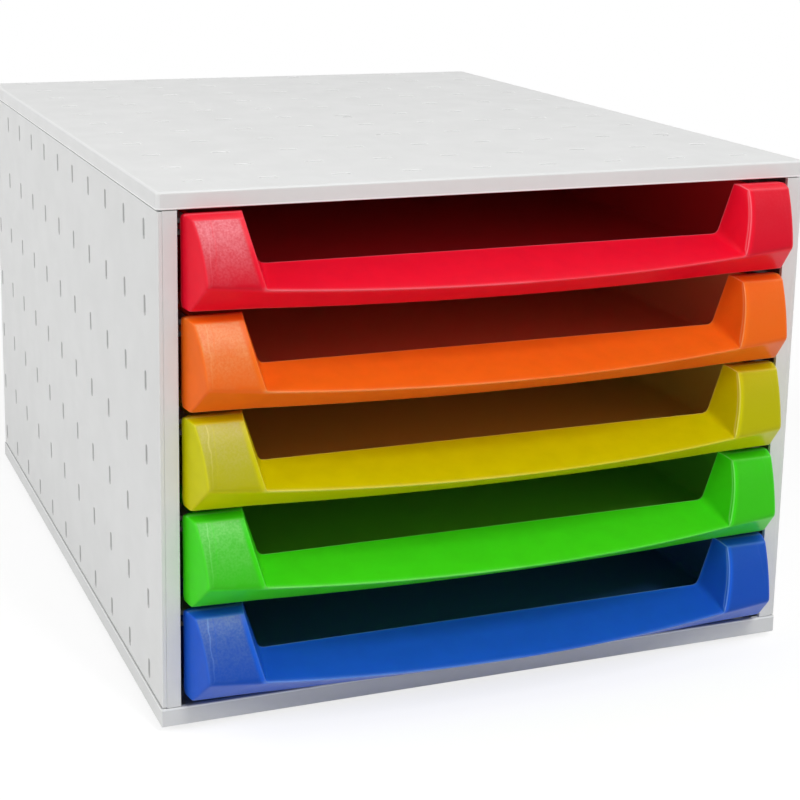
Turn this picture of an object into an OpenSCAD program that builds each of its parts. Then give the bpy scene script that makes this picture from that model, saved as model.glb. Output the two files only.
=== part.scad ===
// Five-drawer desk tower: grey case with translucent coloured drawers that slide out of the front.
// Units are millimetres. +Z is up, the drawers open towards -Y.
// The origin is the centre of the whole tower's footprint, at floor level.

/* [Part] */
// Which piece to draw, or all of them
// How far every drawer is pulled out in the preview
preview_pull = 0; // [0:5:230]

/* [Case] */
// Width over the covers
case_w = 284; // [260:1:310]
// Depth of the case without the drawer lips
case_d = 362; // [330:1:390]
// Height of the case without the feet
case_h = 215.6; // [211:0.2:230]
// Height of the skirt around the top cover
top_skirt = 7.4; // [6:0.1:9]
// Height of the rim around the base cover
base_rim = 8.1; // [6:0.1:9]
// Wall of both covers
cover_t = 2.2; // [1.8:0.1:2.6]
// Corner radius of the top cover seen from above
cover_corner = 2; // [1.5:0.5:5]
// Radius of the top cover's outer edges
cover_edge = 1.2; // [0.6:0.1:1.6]
// Radius of the base cover's corners and outer edges
base_edge = 0.6; // [0.4:0.1:1.6]
// Thickness of the outer side panels
skin_t = 1.8; // [1.4:0.1:2.2]
// How far the side panels stand back from the covers
skin_inset = 0.5; // [0.3:0.1:1]
// Wall of the runner frames
frame_t = 1.8; // [1.4:0.1:2.2]
// Thickness of the back panel
back_t = 2; // [1.5:0.1:3]
// Width of the case's front border beside the opening
border_w = 8; // [7:0.1:9]

/* [Drawers] */
// Gap between the top drawer and the skirt
top_gap = 1.4; // [1:0.1:1.8]
// Gap between two drawer fronts at their posts
drawer_gap = 2.8; // [2.4:0.1:4]
// Gap below the lowest drawer's posts
bottom_gap = 3.7; // [3.5:0.1:6]
// Gap beside the drawer fronts
side_gap = 1.6; // [1.2:0.1:3]
// Wall of the drawer mouldings
wall = 1.8; // [1.4:0.1:2]
// Room beside the tray for the runners
runner_room = 7.7; // [7.2:0.1:12]
// How far the tray's side walls end below the drawer front's top
rim_drop = 3.2; // [2.4:0.1:4]
// Gap behind a closed drawer
rear_gap = 3; // [2:0.5:8]
// How far a drawer slides out to its stops
travel = 230; // [150:5:235]
// Clearance of the sliding flange in its groove
slide_gap = 0.3; // [0.2:0.05:0.5]

/* [Drawer fronts] */
// How far the lip stands out at mid-width
lip_out = 25; // [21:0.5:30]
// How far the posts stand out at their foot
post_out = 17.5; // [15:0.5:19]
// How far the posts stand out at their top
brow_out = 7.3; // [6:0.1:9]
// Width of a post at its foot
post_foot_w = 31; // [26:0.5:40]
// Width of a post at its top
post_top_w = 24.5; // [18:0.5:27]
// Height where the posts start to slope back underneath
chin_z = 12; // [11:0.5:13]
// Height of the ledge's rear edge
ledge_z = 15.6; // [14.5:0.1:16.5]
// Height of the lip's tip at mid-width
tip_mid_z = 6.9; // [6:0.1:8]
// Sag of the lip's lower edge at mid-width
lip_sag = 2.4; // [1:0.1:2.6]

/* [Surface marks] */
// Length of one pressed-in mark
mark_len = 8; // [6:0.5:10]
// Width of one pressed-in mark
mark_w = 2.8; // [2:0.1:4]
// Depth of one pressed-in mark
mark_deep = 0.6; // [0.2:0.05:0.8]
// Spacing of the marks from front to back
mark_step_y = 33.3; // [28:0.1:36]
// Spacing of the marks across the top
mark_step_x = 30.5; // [26:0.1:34]
// Spacing of the marks up the sides
mark_step_z = 30.3; // [26:0.1:34]

/* [Feet] */
// Height of the feet below the case
foot_h = 2.4; // [1.5:0.1:4]
// Diameter of the feet
foot_dia = 16; // [12:1:20]
// Distance of the feet's centres from the case edges
foot_inset = 22; // [16:1:40]

/* [Hidden] */
$fn = 48;
eps = 0.01;                                       // overlap of joined solids
over = 1;                                         // overshoot of cutting tools
drawer_count = 5;

// levels, all above the floor
z_case = foot_h;                                  // underside of the case
z_top = z_case + case_h;
z_open_low = z_case + base_rim;                   // lower edge of the front opening
z_open_top = z_top - top_skirt;                   // upper edge of the front opening
z_inside_low = z_case + cover_t;                  // inner floor of the case
z_inside_top = z_top - cover_t;                   // inner ceiling of the case
open_h = z_open_top - z_open_low;
inside_h = z_inside_top - z_inside_low;
pitch = (open_h - top_gap - bottom_gap + drawer_gap) / drawer_count;
front_h = pitch - drawer_gap;                     // height of a drawer front at its posts

// places from front to back
y_front = (lip_out - case_d) / 2;                 // front plane of the case
y_mid = y_front + case_d / 2;
y_back = y_front + case_d;

// places across
x_skin = case_w / 2 - skin_inset;                 // outer face of the side panels
x_frame = x_skin - skin_t;                        // outer face of the runner frames
x_frame_in = x_frame - frame_t;                   // inner face of the runner frames
x_open = case_w / 2 - border_w;                   // side of the front opening
x_front = x_open - side_gap;                      // side of a drawer front
tray_x = x_open - runner_room;                    // side of a tray

// what the covers hold
panel_gap = 0.1;                                  // play inside the covers' skirts
y_panel = y_back - cover_t - panel_gap - back_t;  // inner face of the back panel
locator_t = 1.2;                                  // ribs inside the covers that hold the frames
locator_h = 3;
locator_end = 20;
edge_lip = 4;                                     // rear edge of the runner frames

// trays; heights from here on are above a drawer's own zero, its front's lower edge
plate_t = 2;                                      // flat plate behind the drawer front
tray_front = y_front + plate_t;
tray_back = y_panel - rear_gap;
tray_h = front_h - rim_drop;
tray_len = tray_back - tray_front;

// sliding flange of a tray and its groove in the runner frame
flange_t = 2;
flange_z = tray_h - 3.6;
flange_w = runner_room - 2;
rib_t = 2;
rib_x = tray_x + 1.7;
rib_start = 6;                                    // ribs begin behind the drawer fronts
rib_end = y_panel - frame_t;
groove_low = flange_z - slide_gap;
groove_high = flange_z + flange_t + slide_gap;

// stops: a tab on the tray's rear end meets a block under the lower rib
stop_len = 3;
stop_h = 5;
stop_top = groove_low - rib_t;
tab_w = 4.6;
block_x = tray_x + 2.4;
block_y = tray_back - 2 * stop_len - travel;

// feet
foot_sink = 0.8;                                  // depth of a foot in its pocket
foot_gap = 0.1;                                   // play around a foot
foot_bevel = 0.6;
foot_x = case_w / 2 - foot_inset;
foot_y = case_d / 2 - foot_inset;

// marks
mark_front = 21.5;                                // first row behind the front plane
mark_margin = 8;                                  // smooth border at the other edges
mark_drop = 1.2;                                  // rows on the sides sit a little low
mark_rows_y = floor((case_d - mark_front - mark_margin / 2) / mark_step_y);
mark_rows_x = floor((case_w / 2 - mark_margin - mark_len / 2) / mark_step_x);
mark_rows_z = floor((open_h / 2 - mark_margin) / mark_step_z);

// drawer front shape
chin_x = x_front - 5.5;                           // where the chin reaches its full height
mouth_foot = x_front - post_foot_w;               // half width of the hand opening at the ledge
mouth_top = x_front - post_top_w;                 // half width of the hand opening at the top
mouth_flare = 0.25;                               // how the hand opening widens outwards
arc_x = mouth_foot + 2.5;                         // where the bowed lip meets the posts
under_out = 4.5;                                  // how far the lower edge stands out
under_drop = 0.6;                                 // lower edge at the inner side of the posts
brow_drop = 1.3;                                  // the posts' top slopes down by this
brow_slope = brow_drop / (brow_out - 1.2);
cheek_slope = 0.3;                                // side draft of the posts
behind = 3 * plate_t;                             // tools for the front reach this far behind it
face_mid_z = front_h - 11.3;                      // middle of the posts' bent face
face_mid_in = 2.5;
ledge_rear = 1.5;                                 // the ledge starts behind the front plane
ledge_slope = (ledge_z - tip_mid_z) / (lip_out + ledge_rear);
corner_low = 2;                                   // lower corner radius of the front
corner_top = 2;
face_steps = 6;
arc_steps = 8;

GREY_TOP = [0.90, 0.90, 0.89];
GREY_SIDE = [0.84, 0.84, 0.83];
GREY_IN = [0.74, 0.74, 0.73];
RUBBER = [0.22, 0.22, 0.22];
RED = [0.86, 0.07, 0.14, 0.9];
ORANGE = [0.96, 0.36, 0.03, 0.9];
YELLOW = [0.78, 0.74, 0.04, 0.9];
GREEN = [0.05, 0.66, 0.09, 0.9];
BLUE = [0.06, 0.24, 0.68, 0.9];

// ---------------------------------------------------------------- helpers

// Height of a drawer's zero above the floor, counted from the top drawer down.
function drawer_z(i) = z_open_top - top_gap - front_h - i * pitch;

// Rectangle around the origin with round corners.
module round_rect(w, d, r) {
    square([w - 2 * r, d], center = true);
    square([w, d - 2 * r], center = true);
    for (sx = [-1, 1], sy = [-1, 1])
        translate([sx * (w / 2 - r), sy * (d / 2 - r)])
            circle(r);
}

// Side view of a slab from zero up to h, round at its two upper corners.
module dome_rect(w, h, r) {
    translate([-w / 2, 0])
        square([w, h - r]);
    translate([r - w / 2, 0])
        square([w - 2 * r, h]);
    for (s = [-1, 1])
        translate([s * (w / 2 - r), h - r])
            circle(r);
}

// Slab from zero up to h with round corners and round upper edges.
module soft_slab(w, d, h, corner, edge) {
    intersection() {
        linear_extrude(h)
            round_rect(w, d, corner);
        translate([0, d / 2, 0])
            rotate([90, 0, 0])
                linear_extrude(d)
                    dome_rect(w, h, edge);
        translate([-w / 2, 0, 0])
            rotate([90, 0, 90])
                linear_extrude(w)
                    dome_rect(d, h, edge);
    }
}

// Outline of one long mark with round ends, along X.
module mark() {
    square([mark_len - mark_w, mark_w], center = true);
    for (s = [-1, 1])
        translate([s * (mark_len - mark_w) / 2, 0])
            circle(d = mark_w, $fn = 24);
}

// Shell of a cover, closed at the top, its open side at zero, with ribs that hold the frames.
module cover_shell(h, corner, edge) {
    difference() {
        soft_slab(case_w, case_d, h, corner, edge);
        translate([0, 0, (h - cover_t) / 2 - over])
            cube([case_w - 2 * cover_t, case_d - 2 * cover_t, h - cover_t + 2 * over], center = true);
    }
    for (s = [-1, 1])
        translate([s * (x_frame_in - panel_gap - locator_t / 2), 0, h - cover_t - locator_h / 2 + eps])
            cube([locator_t, case_d - 2 * locator_end, locator_h], center = true);
}

// ---------------------------------------------------------------- case

// Top cover with rows of shallow marks pressed into it.
module top_cover() {
    color(GREY_TOP)
        difference() {
            translate([0, y_mid, z_open_top])
                cover_shell(top_skirt, cover_corner, cover_edge);
            translate([0, y_front + mark_front, z_top - mark_deep])
                linear_extrude(mark_deep + over)
                    for (i = [-mark_rows_x : mark_rows_x], j = [0 : mark_rows_y])
                        translate([i * mark_step_x, j * mark_step_y])
                            mark();
        }
}

// Base cover: the same shell upside down, with round pockets for the feet.
module base_cover() {
    color(GREY_SIDE)
        difference() {
            translate([0, y_mid, z_open_low])
                mirror([0, 0, 1])
                    cover_shell(base_rim, base_edge, base_edge);
            for (sx = [-1, 1], sy = [-1, 1])
                translate([sx * foot_x, y_mid + sy * foot_y, z_case - over])
                    cylinder(d = foot_dia + 2 * foot_gap, h = foot_sink + over);
        }
}

// Outer panel of the right side with its rows of upright marks.
module side_panel() {
    difference() {
        translate([x_frame, y_front, z_open_low])
            cube([skin_t, case_d - skin_inset, open_h]);
        translate([x_skin - mark_deep, y_front + mark_front, z_open_low + open_h / 2 - mark_drop])
            rotate([90, 90, 90])
                linear_extrude(mark_deep + over)
                    for (i = [-mark_rows_z : mark_rows_z], j = [0 : mark_rows_y])
                        translate([i * mark_step_z, j * mark_step_y])
                            mark();
    }
}

module right_side_panel() {
    color(GREY_SIDE)
        side_panel();
}

module left_side_panel() {
    color(GREY_SIDE)
        mirror([1, 0, 0])
            side_panel();
}

// One rib along the inside of the right runner frame.
module rib(z, h) {
    translate([rib_x, y_front + rib_start, z])
        cube([x_frame_in - rib_x + eps, rib_end - y_front - rib_start, h]);
}

// Inner frame of the right side: wall, front border, rear edge, and five grooves with stops.
module runner_frame() {
    translate([x_frame_in, y_front + cover_t + panel_gap, z_inside_low])
        cube([frame_t, y_panel - y_front - cover_t - panel_gap, inside_h]);
    translate([x_open, y_front, z_open_low])
        cube([x_frame - x_open, frame_t, open_h]);
    translate([x_frame_in, y_front, z_open_low])
        cube([frame_t, cover_t + over, open_h]);
    translate([x_frame_in - edge_lip, y_panel - frame_t, z_inside_low + locator_h + over])
        cube([edge_lip + eps, frame_t, inside_h - 2 * locator_h - 2 * over]);
    for (i = [0 : drawer_count - 1])
        translate([0, 0, drawer_z(i)]) {
            rib(groove_low - rib_t, rib_t);
            rib(groove_high, rib_t);
            translate([block_x, block_y, stop_top - stop_h])
                cube([x_frame_in - block_x + eps, stop_len, stop_h + eps]);
        }
}

module right_runner_frame() {
    color(GREY_IN)
        runner_frame();
}

module left_runner_frame() {
    color(GREY_IN)
        mirror([1, 0, 0])
            runner_frame();
}

// Plain rear wall held inside the skirts of both covers.
module back_panel() {
    color(GREY_SIDE)
        translate([-x_frame, y_panel, z_inside_low])
            cube([2 * x_frame, back_t, inside_h]);
}

// ---------------------------------------------------------------- drawers

// Bow of the lip: one at mid-width, zero from the posts outwards.
function bow(x) = abs(x) < arc_x ? 1 - (x / arc_x) * (x / arc_x) : 0;

// Zero at the inner side of the posts, one at their outer side.
function to_side(x) = min(1, max(0, (abs(x) - arc_x) / (chin_x - arc_x)));

// Height of the sloping ledge, so far out from the case.
function ledge_at(out) = ledge_z - ledge_slope * (out + ledge_rear);

// Outermost point of the front at x, and the height of its lower edge there.
function tip_out(x) = post_out + (lip_out - post_out) * bow(x);
function tip_z(x) = ledge_at(tip_out(x)) + (chin_z - ledge_at(post_out)) * to_side(x);
function under_z(x) = -under_drop * (1 - to_side(x)) - lip_sag * bow(x);

// Point on the bent line from a over b to c.
function bend(a, b, c, t) = (1 - t) * (1 - t) * a + 2 * t * (1 - t) * b + t * t * c;

// Side view of the front at x as points [out, up], set in by t from the outer skin. It runs on
// behind the front plate, where the hollow's floor meets the tray's.
function section(x, t) = concat(
    [[-behind, t > 0 ? wall : under_z(x)], [under_out - t / 2, under_z(x) + t]],
    [for (k = [0 : face_steps])
        bend([tip_out(x) - 1.25 * t, tip_z(x)],
             [tip_out(x) - face_mid_in - t, face_mid_z],
             [brow_out - t, front_h - brow_drop - t], k / face_steps)],
    [[-behind, front_h - brow_drop - t + brow_slope * (brow_out + behind)]]);

// Solid swept through the side views, from side to side of the front.
module front_loft(t) {
    side = x_front + (t > 0 ? -t : over);
    xs = concat([-side, -chin_x],
                [for (k = [-arc_steps : arc_steps]) k * arc_x / arc_steps],
                [chin_x, side]);
    n = len(section(0, t));
    m = len(xs);
    points = [for (x = xs) for (p = section(x, t)) [x, y_front - p[0], p[1]]];
    skin = [for (i = [0 : m - 2]) for (j = [0 : n - 1])
        [i * n + j, i * n + (j + 1) % n, (i + 1) * n + (j + 1) % n, (i + 1) * n + j]];
    ends = [[for (j = [0 : n - 1]) n - 1 - j], [for (j = [0 : n - 1]) (m - 1) * n + j]];
    polyhedron(points = points, faces = concat(skin, ends), convexity = 6);
}

// Plan view of a drawer front with the drafted sides of its posts, which run on behind its plate.
module front_plan(t) {
    side = [[x_front - t + cheek_slope * behind, y_front + behind],
            [x_front - t - cheek_slope * post_out, y_front - post_out],
            [x_front - t - cheek_slope * post_out, y_front - lip_out - over]];
    polygon(concat(side, [for (k = [len(side) - 1 : -1 : 0]) [-side[k][0], side[k][1]]]));
}

// Front view of a drawer front with its round corners.
module front_outline() {
    low = lip_sag + under_drop + over;
    translate([-x_front, corner_low])
        square([2 * x_front, front_h - corner_low - corner_top]);
    translate([corner_low - x_front, -low])
        square([2 * (x_front - corner_low), front_h - corner_top + low]);
    translate([corner_top - x_front, corner_low])
        square([2 * (x_front - corner_top), front_h - corner_low]);
    for (s = [-1, 1]) {
        translate([s * (x_front - corner_low), corner_low])
            circle(corner_low);
        translate([s * (x_front - corner_top), front_h - corner_top])
            circle(corner_top);
    }
}

// Space of the hand opening between the posts and above the ledge, grown by t on all sides.
module mouth(t) {
    lean = (mouth_top - mouth_foot) / (front_h - brow_drop - ledge_z);
    low = -2 * chin_z;
    high = front_h + 4 * over;
    near = -behind - over;
    far = lip_out + 4 * over;
    corners = [for (out = [near, far]) for (z = [low, high]) for (s = [-1, 1])
        [s * (mouth_foot + t + lean * (z - ledge_z) + mouth_flare * (out + ledge_rear)),
         y_front - out, z]];
    intersection() {
        polyhedron(points = corners, faces = [[0, 1, 3, 2], [4, 6, 7, 5], [0, 4, 5, 1],
                                              [2, 3, 7, 6], [0, 2, 6, 4], [1, 5, 7, 3]]);
        rotate([90, 0, 90])
            linear_extrude(case_w, center = true)
                polygon([[y_front - near, ledge_at(near) - t], [y_front - near, high],
                         [y_front - far, high], [y_front - far, ledge_at(far) - t]]);
    }
}

// Prism over the plan view of a drawer front, set in by t.
module plan_prism(t) {
    low = lip_sag + under_drop + over;
    translate([0, 0, -low])
        linear_extrude(front_h + low + over)
            front_plan(t);
}

// Outer form of a drawer front without its hollow.
module front_solid() {
    difference() {
        intersection() {
            front_loft(0);
            plan_prism(0);
            translate([0, tray_front, 0])
                rotate([90, 0, 0])
                    linear_extrude(plate_t + lip_out + over)
                        front_outline();
        }
        mouth(0);
    }
}

// Side walls of a tray.
module tray_walls() {
    for (s = [-1, 1])
        translate([s * (tray_x - wall / 2), (y_front + tray_back) / 2, tray_h / 2])
            cube([wall, tray_back - y_front, tray_h], center = true);
}

// Hollow behind the posts and below the ledge, open towards the tray.
module front_hollow() {
    difference() {
        intersection() {
            front_loft(wall);
            plan_prism(wall);
        }
        mouth(wall);
        tray_walls();
    }
}

// Bar on each side of a tray that stands out by w, len long from the tray's rear end.
module beside_tray(w, len, z, h) {
    for (m = [0, 1])
        mirror([m, 0, 0])
            translate([tray_x - wall / 2, tray_back - len, z])
                cube([w + wall / 2, len, h]);
}

// One drawer with its zero at the lower edge of its front.
module drawer_body() {
    difference() {
        front_solid();
        front_hollow();
    }
    tray_walls();
    translate([-tray_x, tray_front - plate_t / 2, 0])
        cube([2 * tray_x, tray_len + plate_t / 2, wall]);
    translate([-tray_x, tray_back - wall, 0])
        cube([2 * tray_x, wall, tray_h]);
    beside_tray(flange_w, tray_len + plate_t / 2, flange_z, flange_t);
    beside_tray(tab_w, stop_len, stop_top - stop_h, stop_h - slide_gap);
}

// A drawer in its place in the tower, counted from the top.
module drawer(i) {
    translate([0, -preview_pull, drawer_z(i)])
        drawer_body();
}

module drawer_red() {
    color(RED)
        drawer(0);
}

module drawer_orange() {
    color(ORANGE)
        drawer(1);
}

module drawer_yellow() {
    color(YELLOW)
        drawer(2);
}

module drawer_green() {
    color(GREEN)
        drawer(3);
}

module drawer_blue() {
    color(BLUE)
        drawer(4);
}

// ---------------------------------------------------------------- feet

// Round non-slip pad on the sides given by sx and sy.
module foot(sx, sy) {
    color(RUBBER)
        translate([sx * foot_x, y_mid + sy * foot_y, 0]) {
            cylinder(d1 = foot_dia - 2 * foot_bevel, d2 = foot_dia, h = foot_bevel);
            translate([0, 0, foot_bevel])
                cylinder(d = foot_dia, h = foot_h + foot_sink - foot_bevel);
        }
}

module foot_front_left() {
    foot(-1, -1);
}

module foot_front_right() {
    foot(1, -1);
}

module foot_rear_left() {
    foot(-1, 1);
}

module foot_rear_right() {
    foot(1, 1);
}

top_cover();
base_cover();
left_side_panel();
right_side_panel();
left_runner_frame();
right_runner_frame();
back_panel();
drawer_red();
drawer_orange();
drawer_yellow();
drawer_green();
drawer_blue();
foot_front_left();
foot_front_right();
foot_rear_left();
foot_rear_right();
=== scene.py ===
"""Looks of a five-drawer desk tower: grey case with pressed panels, clear coloured drawers.

All sizes are in metres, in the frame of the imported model: +Z is up and the drawers open towards -Y.
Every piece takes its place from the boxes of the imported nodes.
"""

import logging
import math
from collections.abc import Callable, Mapping, Sequence
from dataclasses import dataclass, field
from enum import Enum
from typing import Any

import bmesh
import bpy
import numpy as np
from mathutils import Euler, Matrix, Vector


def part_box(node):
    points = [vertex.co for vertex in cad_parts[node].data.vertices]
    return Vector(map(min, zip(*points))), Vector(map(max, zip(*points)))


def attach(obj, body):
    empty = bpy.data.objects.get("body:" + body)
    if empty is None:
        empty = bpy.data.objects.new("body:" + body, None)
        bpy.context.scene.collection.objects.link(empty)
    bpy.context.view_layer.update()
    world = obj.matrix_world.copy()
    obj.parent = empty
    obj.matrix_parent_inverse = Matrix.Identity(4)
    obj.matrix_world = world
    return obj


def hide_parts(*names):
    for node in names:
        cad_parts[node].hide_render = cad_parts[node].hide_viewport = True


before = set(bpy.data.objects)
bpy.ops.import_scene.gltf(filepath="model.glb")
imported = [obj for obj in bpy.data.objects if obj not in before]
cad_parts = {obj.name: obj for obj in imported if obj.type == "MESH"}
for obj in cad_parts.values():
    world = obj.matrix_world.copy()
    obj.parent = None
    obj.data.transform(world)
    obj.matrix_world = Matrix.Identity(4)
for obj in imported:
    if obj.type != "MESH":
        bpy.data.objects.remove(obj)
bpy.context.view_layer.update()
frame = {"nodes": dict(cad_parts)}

LOG = logging.getLogger("drawer_tower")
EDGE_HIGHLIGHT = "painted_edge_highlight"          # vertex attribute: painted highlight near the edges and creases
BACKED_LIGHT = "backed"           # vertex attribute: how much wall stands right behind the skin, where painted light brightens it
FROST_AND_SHEEN = "haze"               # vertex attribute: frost with painted sheen, paler towards the top and on the left posts
UPRIGHT_SHADE = "upright"         # vertex attribute: painted shade on the upright outer faces
PAINTED_SHADING = "tone"               # face attribute: above zero painted highlight, below zero painted shade
INSIDE = "inside"           # face attribute: one inside a tray
MM = 0.001
WHITE = (1.0, 1.0, 1.0, 1.0)

Socket = bpy.types.NodeSocket
Colour = tuple[float, float, float]
Point2 = tuple[float, float]


class Slot(Enum):
    """Material slots of the pieces that are modelled here."""

    CASE_LIGHT = "case_light"
    CASE_GREY = "case_grey"
    CLEAR_RED = "clear_red"
    CLEAR_ORANGE = "clear_orange"
    CLEAR_YELLOW = "clear_yellow"
    CLEAR_GREEN = "clear_green"
    CLEAR_BLUE = "clear_blue"


class Tint(Enum):
    """Colours of the drawers, from the top one down."""

    RED = "red"
    ORANGE = "orange"
    YELLOW = "yellow"
    GREEN = "green"
    BLUE = "blue"

    @property
    def node(self) -> str:
        """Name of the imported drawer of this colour."""
        return f"drawer_{self.value}"

    @property
    def body(self) -> str:
        """Name of the sliding body of this colour."""
        return f"{self.value}_drawer"

    @property
    def slot(self) -> Slot:
        """Material slot of this colour."""
        return Slot(f"clear_{self.value}")


# ------------------------------------------------------------------ node trees


class Nodes:
    """Thin layer over a node tree that adds nodes, fills their inputs and links them."""

    def __init__(self, tree: bpy.types.NodeTree) -> None:
        """Wraps a tree.

        Args:
            tree: The shader or geometry tree to build in.
        """
        self.tree = tree

    def add(self, kind: str, inputs: Mapping[Any, Any] | None = None, **settings: Any) -> bpy.types.Node:
        """Adds one node.

        Args:
            kind: Blender's name of the node type.
            inputs: Value or socket for each input, by the input's name or number.
            settings: Attributes of the node itself.

        Returns:
            The new node.
        """
        node = self.tree.nodes.new(kind)
        for name, value in settings.items():
            setattr(node, name, value)
        for key, value in (inputs or {}).items():
            if isinstance(value, Socket):
                self.tree.links.new(value, node.inputs[key])
            else:
                node.inputs[key].default_value = value
        return node

    def math(self, operation: str, a: Any, b: Any = 0.0) -> Socket:
        """Adds a Math node on two values.

        Args:
            operation: Name of the operation.
            a: First value or socket.
            b: Second value or socket.

        Returns:
            The result's socket.
        """
        return self.add("ShaderNodeMath", {0: a, 1: b}, operation=operation).outputs[0]

    def step(self, value: Socket, start: float, end: float, low: float = 0.0, high: float = 1.0) -> Socket:
        """Maps a value smoothly from one range to another.

        Args:
            value: Socket to map.
            start: Value where the result is low.
            end: Value where the result is high.
            low: Result at start.
            high: Result at end.

        Returns:
            The result's socket.
        """
        node = self.add(
            "ShaderNodeMapRange",
            {0: value, 1: start, 2: end, 3: low, 4: high},
            interpolation_type="SMOOTHSTEP",
        )
        return node.outputs[0]

    def mix(self, factor: Any, a: Any, b: Any) -> Socket:
        """Mixes two colours.

        Args:
            factor: Share of the second colour.
            a: First colour, as three numbers or a socket.
            b: Second colour, as three numbers or a socket.

        Returns:
            The mixed colour's socket.
        """
        full = [c if isinstance(c, Socket) else (*c, 1.0) for c in (a, b)]
        node = self.add("ShaderNodeMix", {0: factor, 6: full[0], 7: full[1]}, data_type="RGBA")
        return node.outputs[2]

    def noise(self, place: Socket, size: float, detail: float = 2.0) -> Socket:
        """Adds a noise pattern.

        Args:
            place: Socket that gives the position in metres.
            size: Size of the pattern's blobs in metres.
            detail: How many finer layers it has.

        Returns:
            The noise value's socket.
        """
        node = self.add("ShaderNodeTexNoise", {"Vector": place, "Scale": 1.0 / size, "Detail": detail})
        return node.outputs["Fac"]


def emptied(owner: bpy.types.Material | bpy.types.World) -> Nodes:
    """Turns on a material's or world's nodes and removes the ones it starts with."""
    owner.use_nodes = True
    owner.node_tree.nodes.clear()
    return Nodes(owner.node_tree)


def new_material(name: str) -> tuple[bpy.types.Material, Nodes, bpy.types.Node, Socket]:
    """Makes an empty material.

    Args:
        name: Name of the material.

    Returns:
        The material, its nodes, its Principled shader and the socket of Object coordinates.
    """
    material = bpy.data.materials.new(name)
    nodes = emptied(material)
    shader = nodes.add("ShaderNodeBsdfPrincipled")
    nodes.add("ShaderNodeOutputMaterial", {"Surface": shader.outputs[0]})
    place = nodes.add("ShaderNodeTexCoord").outputs["Object"]
    return material, nodes, shader, place


# ------------------------------------------------------------------ finishes


@dataclass(frozen=True)
class CasePlastic:
    """Opaque moulded plastic with a matt grain, faint clouds, painted shade in its pockets and inside, and
    painted highlights on its edges.

    Attributes:
        name: Name of the material.
        colour: Colour in linear values.
        roughness: Mean roughness.
        grain: Size of the moulded grain.
        grain_height: Height of the grain.
        speck_share: Share of the surface's cells that hold a dark speck.
        inside: Where the painted shade of the inside starts, as y.
        painted_inside_shade: Tone of the painted shade inside.
    """

    name: str
    colour: Colour
    inside: float = 1.0
    painted_inside_shade: float = 0.35
    roughness: float = 0.4
    grain: float = 0.7 * MM
    grain_height: float = 0.012 * MM
    speck_share: float = 0.012

    def tone(self, share: float) -> Colour:
        """The colour, lighter or darker."""
        return tuple(min(0.93, c * share) for c in self.colour)

    def clouded(self, nodes: Nodes, place: Socket) -> Socket:
        """Colour with faint clouds, short flow marks and a few specks.

        Args:
            nodes: Nodes of the material.
            place: Position on the object.

        Returns:
            The colour's socket.
        """
        shade = nodes.mix(nodes.noise(place, 45 * MM, 3.0), self.tone(0.96), self.tone(1.035))
        stretched = nodes.add("ShaderNodeMapping", {"Vector": place, "Scale": (1.0, 0.25, 1.0)}).outputs[0]
        flow = nodes.step(nodes.noise(stretched, 5 * MM, 2.0), 0.4, 0.75, 0.0, 0.4)
        shade = nodes.mix(flow, shade, self.tone(0.965))
        cells = nodes.add("ShaderNodeTexVoronoi", {"Vector": place, "Scale": 1.0 / (11 * MM)})
        near = nodes.step(cells.outputs["Distance"], 0.025, 0.045, 1.0, 0.0)
        number = nodes.add("ShaderNodeSeparateColor", {0: cells.outputs["Color"]}).outputs[0]
        speck = nodes.math("MULTIPLY", near, nodes.math("LESS_THAN", number, self.speck_share))
        return nodes.mix(speck, shade, self.tone(0.5))

    def material(self) -> bpy.types.Material:
        """Builds the material.

        Returns:
            The finished material.
        """
        material, nodes, shader, place = new_material(self.name)
        shade = self.clouded(nodes, place)
        # Painted shade: darker from the given depth inwards.
        depth = nodes.add("ShaderNodeSeparateXYZ", {0: place}).outputs[1]
        behind = nodes.step(depth, self.inside, self.inside + 3 * MM)
        shade = nodes.mix(behind, shade, self.tone(self.painted_inside_shade))
        # Painted shade where the face attribute is below zero, painted highlight where it is above zero.
        tone = nodes.add("ShaderNodeAttribute", attribute_name=PAINTED_SHADING).outputs["Fac"]
        shade = nodes.mix(nodes.math("MAXIMUM", nodes.math("MULTIPLY", tone, -1.0)), shade, self.tone(0.35))
        shade = nodes.mix(nodes.math("MAXIMUM", tone), shade, self.tone(1.25))
        patches = nodes.noise(place, 18 * MM, 3.0)
        rough = nodes.step(patches, 0.3, 0.7, self.roughness - 0.05, self.roughness + 0.06)
        fine = nodes.noise(place, self.grain, 2.0)
        bump = nodes.add("ShaderNodeBump", {"Height": fine, "Distance": self.grain_height, "Strength": 1.0})
        links = nodes.tree.links
        links.new(shade, shader.inputs["Base Color"])
        links.new(rough, shader.inputs["Roughness"])
        links.new(bump.outputs[0], shader.inputs["Normal"])
        shader.inputs["IOR"].default_value = 1.5
        return material


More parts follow.
